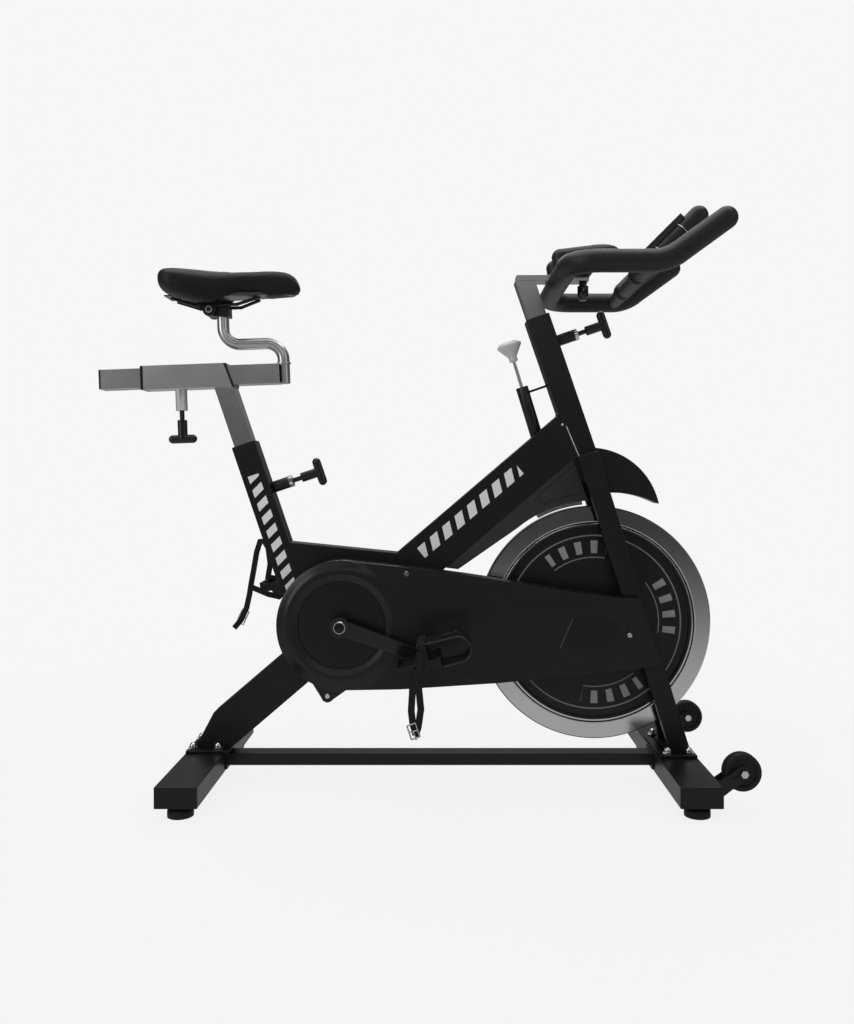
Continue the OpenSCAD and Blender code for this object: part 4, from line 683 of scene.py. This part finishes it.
arm_paint = Mat("crank_paint", (0.0060, 0.0060, 0.0062), 0.26, Specular_IOR_Level=0.4, Coat_Weight=0.35,
                Coat_Roughness=0.2)
arm_paint.put("Roughness", arm_paint.noise(18.0, 3.0) * 0.12 + 0.20)
arm_paint.paint(arm_paint.noise(40.0, 3.0).step(0.60, 0.75) * 0.4, (0.020, 0.020, 0.020))
arm_paint = arm_paint.relief(arm_paint.noise(420.0, 1.0), 0.00002).done()
dress(arm_paint, "crank_arm_right", "crank_arm_left")
soften(0.0040, "crank_arm_right", "crank_arm_left")
cap_plastic = moulded("cap_plastic", (0.006, 0.006, 0.006), 0.30).done()
for hand, out in (("right", -1), ("left", 1)):
    at, axis = (BB.x, out * BOSS_Y, BB.z), (0, out, 0)
    cap = lathe("dust_cap", [(0, 0.0024), (0.0050, 0.0022), (0.0088, 0.0014), (0.0096, 0.0002),
                             (0.0096, -0.0006), (0, -0.0006)], at, axis, 40)
    piece("dust_cap_" + hand, cap, cap_plastic, "plastic_black", "crank")
    ring = lathe("cap_ring", [(0.0097, -0.0006), (0.0122, -0.0006), (0.0126, 0.0006), (0.0118, 0.0016),
                              (0.0102, 0.0016), (0.0097, 0.0006), (0.0097, -0.0006)], at, axis)
    piece("cap_ring_" + hand, ring, chrome, "bright_chrome", "crank")

# ---------------------------------------------------------------------------
# Pedals: cast bodies with a black coat and moulded nylon toe cages, screwed
# to the front of each pedal. All their edges are softened.
# ---------------------------------------------------------------------------
cage_plastic = moulded("cage_plastic", (0.0080, 0.0080, 0.0082), 0.24, 600.0, 0.00002, 0.6).done()
dress(coat, "pedal_right", "pedal_left")
dress(cage_plastic, "toe_cage_right", "toe_cage_left")
soften(0.0008, "toe_cage_right", "toe_cage_left")
soften(0.0012, "pedal_right", "pedal_left")

# ---------------------------------------------------------------------------
# Pedal straps: woven nylon webbing, its fine ribs a little paler. Each runs
# through a bent-wire buckle with a tongue, plated, on its outer face.
# ---------------------------------------------------------------------------
BUCKLE_HALF = 0.0085                         # half the width of a buckle, a little over a strap's
BUCKLES = (("right", (0.0055, -0.2264, 0.1610), 108.0, 0.027),      # place, lean in degrees and length
           ("left", (-0.4130, 0.2264, 0.3050), 66.0, 0.034))
WIRES = (((-1, -1), (1, -1)), ((1, -1), (1, 1)), ((1, 1), (-1, 1)), ((-1, 1), (-1, -1)),    # the frame
         ((0, -1), (0, 1)), ((0, 0), (-1.25, 0)))                                           # bar, tongue

strap = Mat("strap_web", (0.0060, 0.0060, 0.0062), 0.55, Specular_IOR_Level=0.25)
weave = ((strap.z + strap.x * 0.3) * 4200.0).sin() * 0.5 + 0.5
strap.paint(weave * 0.5, (0.011, 0.011, 0.0115))
dress(strap.relief(weave, 0.00012).done(), "pedal_strap_right", "pedal_strap_left")


def joined(name, parts):
    """One mesh out of several, which it uses up."""
    bm = bmesh.new()
    for part in parts:
        bm.from_mesh(part)
        bpy.data.meshes.remove(part)
    mesh = bpy.data.meshes.new(name)
    bm.to_mesh(mesh)
    bm.free()
    smooth(mesh, 60)
    return mesh


for hand, (x, y, z), lean, length in BUCKLES:
    turn = math.radians(lean)
    bent = []
    for wire in WIRES:
        ends = []
        for u, v in wire:
            du, dv = u * length / 2, v * BUCKLE_HALF
            ends.append((x + du * math.cos(turn) - dv * math.sin(turn), y,
                         z + du * math.sin(turn) + dv * math.cos(turn)))
        bent.append(tube_along("buckle_bar", ends, 0.0015))
    piece("buckles_" + hand, joined("buckles_" + hand, bent), chrome, "bright_chrome", hand + " pedal")

# ---------------------------------------------------------------------------
# Saddle cushion: moulded foam under grained black vinyl, drawn tight over its
# edges and stapled to the base. It is crowned, with a channel along its middle
# and two bulges that hang beside the clamp.
# ---------------------------------------------------------------------------
TILT = lean_of("seat_reach") + math.pi / 2
SADDLE_BOLT = Vector(JOINTS["saddle_tilt"]["pos_m"])
REAR, NOSE = -103, 189                       # millimetres ahead of the bolt, as in the lists below
CREST = ([REAR, -92, -82, -60, -30, 10, 50, 90, 120, 140, 158, 170, 180, NOSE],
         [79, 83, 85, 85, 82.5, 79, 77, 77.5, 79, 78.5, 76, 72, 65, 52])
UNDER = ([REAR, -90, -71, -50, -31, -5, 19, 32, 43, 67, 104, 123, 150, NOSE],
         [46, 38, 25, 17, 11, 8, 7.5, 14, 22, 31, 31, 23, 23.5, 29])
WIDTH = ([REAR, -90, -60, -40, -20, 5, 30, 60, 90, 130, 160, NOSE],
         [84, 88, 89, 88, 82, 69, 55, 43, 36.5, 31, 28, 24])
HOLLOW_TOP, HOLLOW_HALF, HOLLOW_FRONT = 34.0, 33.0, 62      # room for the base and the clamp
CHANNEL_DEPTH, CHANNEL_HALF, SHOULDER, THINNEST = 3.5, 15.0, 7.0, 6.0
ROWS, ROUND = 104, 96


def seat_place(x, y, z):
    """A place measured in millimetres from the saddle's bolt, in the seat's leaning frame."""
    x, z = x / 1000.0, z / 1000.0
    return Vector((SADDLE_BOLT.x + x * math.cos(TILT) - z * math.sin(TILT), y / 1000.0,
                   SADDLE_BOLT.z + x * math.sin(TILT) + z * math.cos(TILT)))


def closing(gone, length, power):
    """0 at an end and 1 from length on, along a superellipse."""
    left = 1.0 - min(1.0, max(0.0, gone / length))
    return (1.0 - left ** power) ** (1.0 / power)


def rounded(part, power):
    """A sine or cosine pushed outwards, so that the ring's corners fill."""
    return math.copysign(abs(part) ** power, part)


def heights_at(dx, y, wide):
    """Underside and top of the cushion at a distance ahead of the bolt and y to the side."""
    across = abs(y) / wide
    under = float(np.interp(dx, *UNDER))
    shoulder = SHOULDER * across ** 5
    channel = CHANNEL_DEPTH * math.exp(-(y / CHANNEL_HALF) ** 2) * min(1.0, wide / 45.0)
    top = float(np.interp(dx, *CREST)) - shoulder - channel
    low = under
    if under < HOLLOW_TOP and dx < HOLLOW_FRONT:
        room = min(1.0, max(0.0, (HOLLOW_FRONT - dx) / 16.0))
        low += (HOLLOW_TOP - under) * room / (1.0 + math.exp((abs(y) - HOLLOW_HALF) / 2.2))
    return min(low + shoulder, top - THINNEST), top


bm = bmesh.new()
rows = []
for i in range(ROWS):
    dx = REAR + (NOSE - REAR) * (0.5 - 0.5 * math.cos(math.pi * (i + 0.6) / (ROWS + 0.2)))
    rear, ahead = dx - REAR, NOSE - dx
    wide = float(np.interp(dx, *WIDTH)) * closing(rear, 44, 2.4) * closing(ahead, 26, 2.2)
    shut = closing(rear, 12, 2.0) * closing(ahead, 9, 2.0)
    row = []
    for j in range(ROUND):
        turn = 2 * math.pi * j / ROUND
        y = wide * rounded(math.cos(turn), 0.70)
        low, top = heights_at(dx, y, wide)
        z = (top + low) / 2 + (top - low) / 2 * shut * rounded(math.sin(turn), 0.52)
        row.append(bm.verts.new(seat_place(dx, y, z)))
    rows.append(row)
for row, further in zip(rows, rows[1:]):
    for j in range(ROUND):
        k = (j + 1) % ROUND
        bm.faces.new((row[j], row[k], further[k], further[j]))
for row in (rows[0], rows[-1]):
    tip = bm.verts.new(sum((v.co for v in row), Vector()) / ROUND)
    for j in range(ROUND):
        bm.faces.new((row[j], row[(j + 1) % ROUND], tip))
for _ in range(2):
    bmesh.ops.smooth_vert(bm, verts=bm.verts, factor=0.5, use_axis_x=True, use_axis_y=True, use_axis_z=True)
bmesh.ops.recalc_face_normals(bm, faces=bm.faces)
bm.normal_update()
for v in bm.verts:                           # soft creases and the give of the foam
    p = v.co
    crease = abs(noise.noise(Vector((p.x * 40.0, p.y * 16.0, p.z * 40.0)) + Vector((3.0, 7.0, 1.0))))
    v.co = p + v.normal * (0.0007 * noise.noise(p * 14.0) - 0.0005 * max(0.0, 0.12 - crease) / 0.12)
cushion = bpy.data.meshes.new("saddle_cushion_soft")
bm.to_mesh(cushion)
bm.free()
smooth(cushion, 70)

vinyl = Mat("vinyl", (0.0060, 0.0060, 0.0062), 0.44, Specular_IOR_Level=0.22)
grain = vinyl.cells(360.0, feature="DISTANCE_TO_EDGE").step(0.0, 0.25)
vinyl.put("Roughness", vinyl.noise(16.0, 3.0) * 0.16 + 0.38)
vinyl.paint(grain * 0.4, (0.009, 0.009, 0.0095))
vinyl = vinyl.relief(grain, 0.00010).relief(vinyl.noise(70.0, 3.0), 0.0002).done()
cushion = piece("saddle_cushion_soft", cushion, vinyl, "saddle_vinyl", "saddle", "saddle_cushion")

# ---------------------------------------------------------------------------
# Saddle fittings: a black plastic base let in under the cushion, coated steel
# rails and clamp, and a bent chrome pin, which a weld collar joins to the slider.
# ---------------------------------------------------------------------------
CLAMP_SIDE = 0.0266

dress(cage_plastic, "saddle_base")
dress(coat, "saddle_clamp", "saddle_rails")
soften(0.0015, "saddle_clamp", "saddle_base")
pin_chrome = metal("pin_chrome", (0.46, 0.46, 0.48), 0.30, 0.05).done()
dress(pin_chrome, "saddle_pin")
for hand, out in (("right", -1), ("left", 1)):
    washer = lathe("clamp_washer", [(0.0046, 0.0), (0.0074, 0.0), (0.0076, 0.0008), (0.0070, 0.0014),
                                    (0.0046, 0.0014), (0.0046, 0.0)],
                   (SADDLE_BOLT.x, out * CLAMP_SIDE, SADDLE_BOLT.z), (0, out, 0), 32)
    piece("clamp_washer_" + hand, washer, chrome, "bright_chrome", "saddle")
collar = lathe("pin_collar", [(0.0126, -0.0030), (0.0148, -0.0030), (0.0152, -0.0014), (0.0144, 0.0006),
                              (0.0126, 0.0010), (0.0126, -0.0030)],
               seat_place(148, 0, -114.5), (-math.sin(TILT), 0, math.cos(TILT)), 40)
piece("pin_weld_collar", collar, pin_chrome, "bright_chrome", "seat slider")

# ---------------------------------------------------------------------------
# Seat post, sleeve and slider: satin-plated square steel tubes. Black
# plastic lines the sleeve's two ends and plugs the slider's rear end.
# ---------------------------------------------------------------------------
POST_SHOWN = 0.154409                        # from the seat tube's end up to the sleeve's axis
SEAT_MID = SEAT_TOP + POST_SHOWN * Vector(JOINTS["seat_height"]["axis"])
LINER = (0.008, 0.008, 0.008)


def drawn(name, color, rough, lean):
    """Satin-plated tube, its fine lines running along a direction of the side view."""
    m = metal(name, color, rough, 0.06)
    run = m.x * math.cos(lean) + m.z * math.sin(lean)
    across = m.x * -math.sin(lean) + m.z * math.cos(lean)
    lines = m.noise(1.0, 2.0, at=m.vector(run * 5.0, m.y * 900.0, across * 900.0))
    return m.relief(lines, 0.0000025)


def from_seat_middle(m):
    """Distances along the sleeve and square to it, as values."""
    dx, dz = m.x - SEAT_MID.x, m.z - SEAT_MID.z
    return dx * math.cos(TILT) + dz * math.sin(TILT), dz * math.cos(TILT) - dx * math.sin(TILT)


def lined(m, where):
    """Turns the metal to black plastic there."""
    m.paint(where, LINER)
    m.put("Metallic", 1.0 - where)
    return m.done()


dress(drawn("post_metal", (0.56, 0.56, 0.57), 0.24, math.pi / 2 + SEAT_LEAN).done(), "seat_post")
sleeve = drawn("sleeve_metal", (0.72, 0.72, 0.73), 0.26, TILT)
slide, rise = from_seat_middle(sleeve)
front = (slide + rise * math.tan(SEAT_LEAN)).step(0.0165, 0.0170)       # cut to the post's lean
dress(lined(sleeve, front + slide.step(-0.1595, -0.1600)), "seat_sleeve")
slider = drawn("slider_metal", (0.68, 0.68, 0.69), 0.22, TILT)
slide, rise = from_seat_middle(slider)
dress(lined(slider, slide.step(-0.2500, -0.2504)), "slider_tube")
soften(0.0016, "seat_post", "seat_sleeve", "slider_tube")

# ---------------------------------------------------------------------------
# Handlebar: plated post and arm, steel loops and inner bars dipped in foam.
# The foam's skin is pebbled and slightly uneven, with paler wear.
# ---------------------------------------------------------------------------
bar_post_metal = drawn("bar_post_metal", (0.23, 0.23, 0.24), 0.26, math.pi / 2 + HEAD_LEAN).done()
dress(bar_post_metal, "handlebar_post")
soften(0.0016, "handlebar_post")
foam = moulded("dipped_foam", (0.0085, 0.0085, 0.0088), 0.46, 520.0, 0.00008, 0.34)
dress(foam.relief(foam.noise(60.0, 3.0), 0.0004).done(), "handlebar_grips", "handlebar_inner_bars")

# ---------------------------------------------------------------------------
# Tray: a thin moulded plate between the inner bars. Four bent-wire clips,
# bright at their edges, hold it to the bars from below.
# ---------------------------------------------------------------------------
SLOPE = math.sqrt(0.5)                       # the inner bars rise at 45 degrees
INNER_BAR = 0.173                            # length of their sloping run
BAR_BEND = Vector(JOINTS["clamp_knob_turn"]["pos_m"]) + Vector((0.100, 0.0, 0.014))
BAR_TIP = BAR_BEND + INNER_BAR * Vector((SLOPE, 0.0, SLOPE))
BAR_GAP, WIRE_R = 0.080, 0.0213              # half the spacing of the bars, radius of a clip

tray_plastic = moulded("tray_plastic", (0.0100, 0.0100, 0.0103), 0.34, 800.0, 0.00003, 0.4).done()
dress(tray_plastic, "handlebar_tray")
soften(0.0012, "handlebar_tray")
clips = []
for back in (-0.047, -0.111):
    for side in (-1, 1):
        hook = []
        for degrees in range(-60, 241, 20):
            a = math.radians(degrees)
            out, y = WIRE_R * math.sin(a), side * BAR_GAP + WIRE_R * math.cos(a)
            hook.append((BAR_TIP.x + (back - out) * SLOPE, y, BAR_TIP.z + (back + out) * SLOPE))
        clips.append(tube_along("tray_wire", hook, 0.0010))
piece("tray_clips", joined("tray_clips", clips), chrome, "bright_chrome", "handlebar")

# ---------------------------------------------------------------------------
# Lock pins: coated barrels with a plated ring pressed over the outer end, and
# T-handles moulded in black on steel pins. The clamp knob is painted black.
# ---------------------------------------------------------------------------
BARREL_OUT = 0.070                           # from the tube's axis to the barrel's end
LOCKS = (("seat", SEAT_TOP, SEAT_LEAN, 0.103), ("handlebar", HEAD_TOP, HEAD_LEAN, 0.058))

knob_plastic = moulded("knob_plastic", (0.0075, 0.0075, 0.0078), 0.28, 900.0, 0.00002, 0.42).done()
dress(knob_plastic, "seat_lock_pin", "slider_lock_pin", "handlebar_lock_pin")
dress(arm_paint, "handlebar_clamp_knob")
dress(coat, "lock_barrels", "post_bushes")
soften(0.0008, "lock_barrels", "post_bushes", "handlebar_clamp_knob")
for name, top, lean, drop in LOCKS:
    x, z = across_axis(top, lean, BARREL_OUT)
    ring = lathe("lock_ring", [(0.0121, -0.0070), (0.0126, -0.0068), (0.0126, 0.0002), (0.0120, 0.0009),
                               (0.0064, 0.0009), (0.0064, 0.0002), (0.0121, 0.0001), (0.0121, -0.0070)],
                 (x + drop * math.sin(lean), 0.0, z - drop * math.cos(lean)),
                 (math.cos(lean), 0, math.sin(lean)), 40)
    piece(name + "_lock_ring", ring, chrome, "bright_chrome", "frame")

# ---------------------------------------------------------------------------
# Brake: a plated steel rod in a coated sleeve, welded to the head tube, over
# five felt pads. The knob screwed to its top is moulded in pale grey.
# ---------------------------------------------------------------------------
dress(metal("rod_plate", (0.55, 0.55, 0.56), 0.20, 0.06).done(), "brake_rod")
knob_grey = Mat("knob_grey", (0.60, 0.60, 0.61), 0.26, Specular_IOR_Level=0.5)
knob_grey.put("Roughness", knob_grey.noise(20.0, 3.0) * 0.14 + 0.24)
knob_grey.paint(knob_grey.noise(8.0, 2.0).step(0.4, 0.9) * 0.3, (0.50, 0.50, 0.51))
dress(knob_grey.relief(knob_grey.noise(500.0, 1.0), 0.00002).done(), "brake_knob")
dress(coat, "brake_sleeve")
soften(0.0010, "brake_knob", "brake_sleeve")

# ---------------------------------------------------------------------------
# Transport wheels: moulded black rubber, each bolted between two ears of the
# front stabiliser. Forty ribs stand across each tread.
# ---------------------------------------------------------------------------
TREAD_R, RIBS = 0.0351, 40
RIB = (0.0016, 0.0205, 0.0012)

rubber = moulded("rubber", (0.0105, 0.0105, 0.0105), 0.60, 260.0, 0.00008, 0.3).done()
dress(rubber, "transport_wheel_right", "transport_wheel_left")
soften(0.0012, "transport_wheel_right", "transport_wheel_left")
rib_box = bmesh.new()
bmesh.ops.create_cube(rib_box, size=1.0)
bmesh.ops.scale(rib_box, vec=RIB, verts=rib_box.verts)
bmesh.ops.bevel(rib_box, geom=rib_box.edges, offset=0.0004, segments=1, affect="EDGES")
rib = bpy.data.meshes.new("tread_rib")
rib_box.to_mesh(rib)
rib_box.free()


def ribs_tree(part, finish):
    """Curve in, ribs out that stand square to it: inputs Ribs and Size."""
    tread = Recipe("tread_ribs", Ribs=RIBS, Size=1.0)
    points = tread.add("GeometryNodeCurveToPoints", {"mode": "COUNT"}, Curve=tread.given["Geometry"],
                       Count=tread.given["Ribs"])
    shape = tread.add("GeometryNodeObjectInfo", {}, out="Geometry", Object=part)
    ribs = tread.add("GeometryNodeInstanceOnPoints", {}, Points=points, Instance=shape,
                     Rotation=points.other("Rotation"), Scale=tread.given["Size"])
    return tread.made(ribs, finish)


rib_model = bpy.data.objects.new("rib_model", rib)
tree = ribs_tree(rib_model, rubber)
for hand in ("right", "left"):
    x, y, z = JOINTS[hand + "_wheel_spin"]["pos_m"]
    tread = arc((x, z), TREAD_R, 0, 360 - 360 / RIBS, y, RIBS)
    ribs = grown(lines_curve("tread", [tread], True), tree, Ribs=RIBS, Size=1.0)
    smooth(ribs, 30)
    piece("tread_" + hand, ribs, rubber, "wheel_black", hand + " wheel")
bpy.data.objects.remove(rib_model)

# ---------------------------------------------------------------------------
# End caps and feet: grained black caps pressed into the stabilisers' ends,
# and rubber-soled levelling feet on screws under them.
# ---------------------------------------------------------------------------
FEET = ["levelling_foot_%s_%s" % (end, hand) for end in ("rear", "front") for hand in ("right", "left")]

dress(moulded("cap_black", (0.0075, 0.0075, 0.0078), 0.40).done(), "stabilizer_end_caps")
dress(rubber, *FEET)
soften(0.0010, "stabilizer_end_caps", *FEET)

# ---------------------------------------------------------------------------
# Stage: an almost clear floor that only takes a faint shadow, a pale plain
# background, soft lamps on all sides, and a level camera on the drive side.
# ---------------------------------------------------------------------------
BACKDROP = (0.925, 0.925, 0.925, 1.0)
FLOOR = 6.0
CLEAR_NEAR, CLEAR_FAR = 0.92, 1.0            # share of the floor that is seen through

floor_mesh = bpy.data.meshes.new("floor")
floor_mesh.from_pydata([(-FLOOR, -FLOOR, 0), (FLOOR, -FLOOR, 0), (FLOOR, FLOOR, 0), (-FLOOR, FLOOR, 0)],
                       [], [(0, 1, 2, 3)])
floor = bpy.data.objects.new("floor", floor_mesh)
bpy.context.scene.collection.objects.link(floor)
ground = Mat("floor", (0.9, 0.9, 0.9), 0.9)
reach = (ground.x * ground.x + ground.y * ground.y).sqrt().step(0.75, 1.7)
surface = ground.add("ShaderNodeMixShader", {}, reach * (CLEAR_FAR - CLEAR_NEAR) + CLEAR_NEAR,
                     Val(ground, ground.shader.outputs[0]), ground.add("ShaderNodeBsdfTransparent", {}))
ground.feed(ground.tree.nodes["Material Output"].inputs["Surface"], surface)
floor_mesh.materials.append(ground.done())
floor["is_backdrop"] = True

world = bpy.data.worlds.new("studio")
bpy.context.scene.world = world
world.use_nodes = True
sky = Nodes(world.node_tree)
plain = sky.add("ShaderNodeBackground", {}, Color=BACKDROP, Strength=1.0)
way = sky.add("ShaderNodeTexCoord", {}, out="Generated")
up = sky.add("ShaderNodeSeparateXYZ", {}, way, out="Z")
# what the bike mirrors: a pale floor, a dark band at eye height, a dim ceiling
glow = up.step(-0.07, -0.24) * 0.47 + up.step(0.02, 0.12) * 0.12 + 0.05
mirrored = sky.add("ShaderNodeBackground", {}, Color=(1.0, 1.0, 1.0, 1.0), Strength=glow)
straight = sky.add("ShaderNodeLightPath", {}, out="Is Camera Ray")
shown = sky.add("ShaderNodeMixShader", {}, straight, mirrored, plain)
sky.feed(sky.tree.nodes["World Output"].inputs["Surface"], shown)


def lamp(name, place, aim, size, watts):
    data = bpy.data.lights.new(name, "AREA")
    data.shape, data.size, data.size_y, data.energy = "RECTANGLE", size[0], size[1], watts
    obj = bpy.data.objects.new(name, data)
    obj.location = place
    obj.rotation_euler = (Vector(aim) - Vector(place)).to_track_quat("-Z", "Y").to_euler()
    bpy.context.scene.collection.objects.link(obj)


lamp("top", (0.0, 0.1, 3.2), (0.0, 0.0, 0.4), (3.4, 2.6), 66)
lamp("left", (-2.6, -2.0, 1.7), (0.0, 0.0, 0.6), (1.2, 2.2), 30)
lamp("right", (2.8, -1.8, 1.9), (0.2, 0.0, 0.6), (1.0, 2.2), 10)
lamp("front", (0.2, -3.6, 2.2), (0.0, 0.0, 0.5), (2.6, 0.8), 9)
lamp("back", (0.2, 2.8, 2.9), (0.0, 0.0, 0.6), (3.0, 1.2), 26)

eye = bpy.data.cameras.new("camera")
eye.sensor_width, eye.sensor_fit, eye.lens = 36.0, "AUTO", 32.13
eye.shift_x, eye.shift_y = -0.0176, -0.0361
camera = bpy.data.objects.new("camera", eye)
camera.location = (0.0645, -1.934, 0.640)
camera.rotation_euler = (math.radians(90), 0, 0)
bpy.context.scene.collection.objects.link(camera)
bpy.context.scene.camera = camera
bpy.context.scene.view_settings.view_transform = "Standard"

low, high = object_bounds()
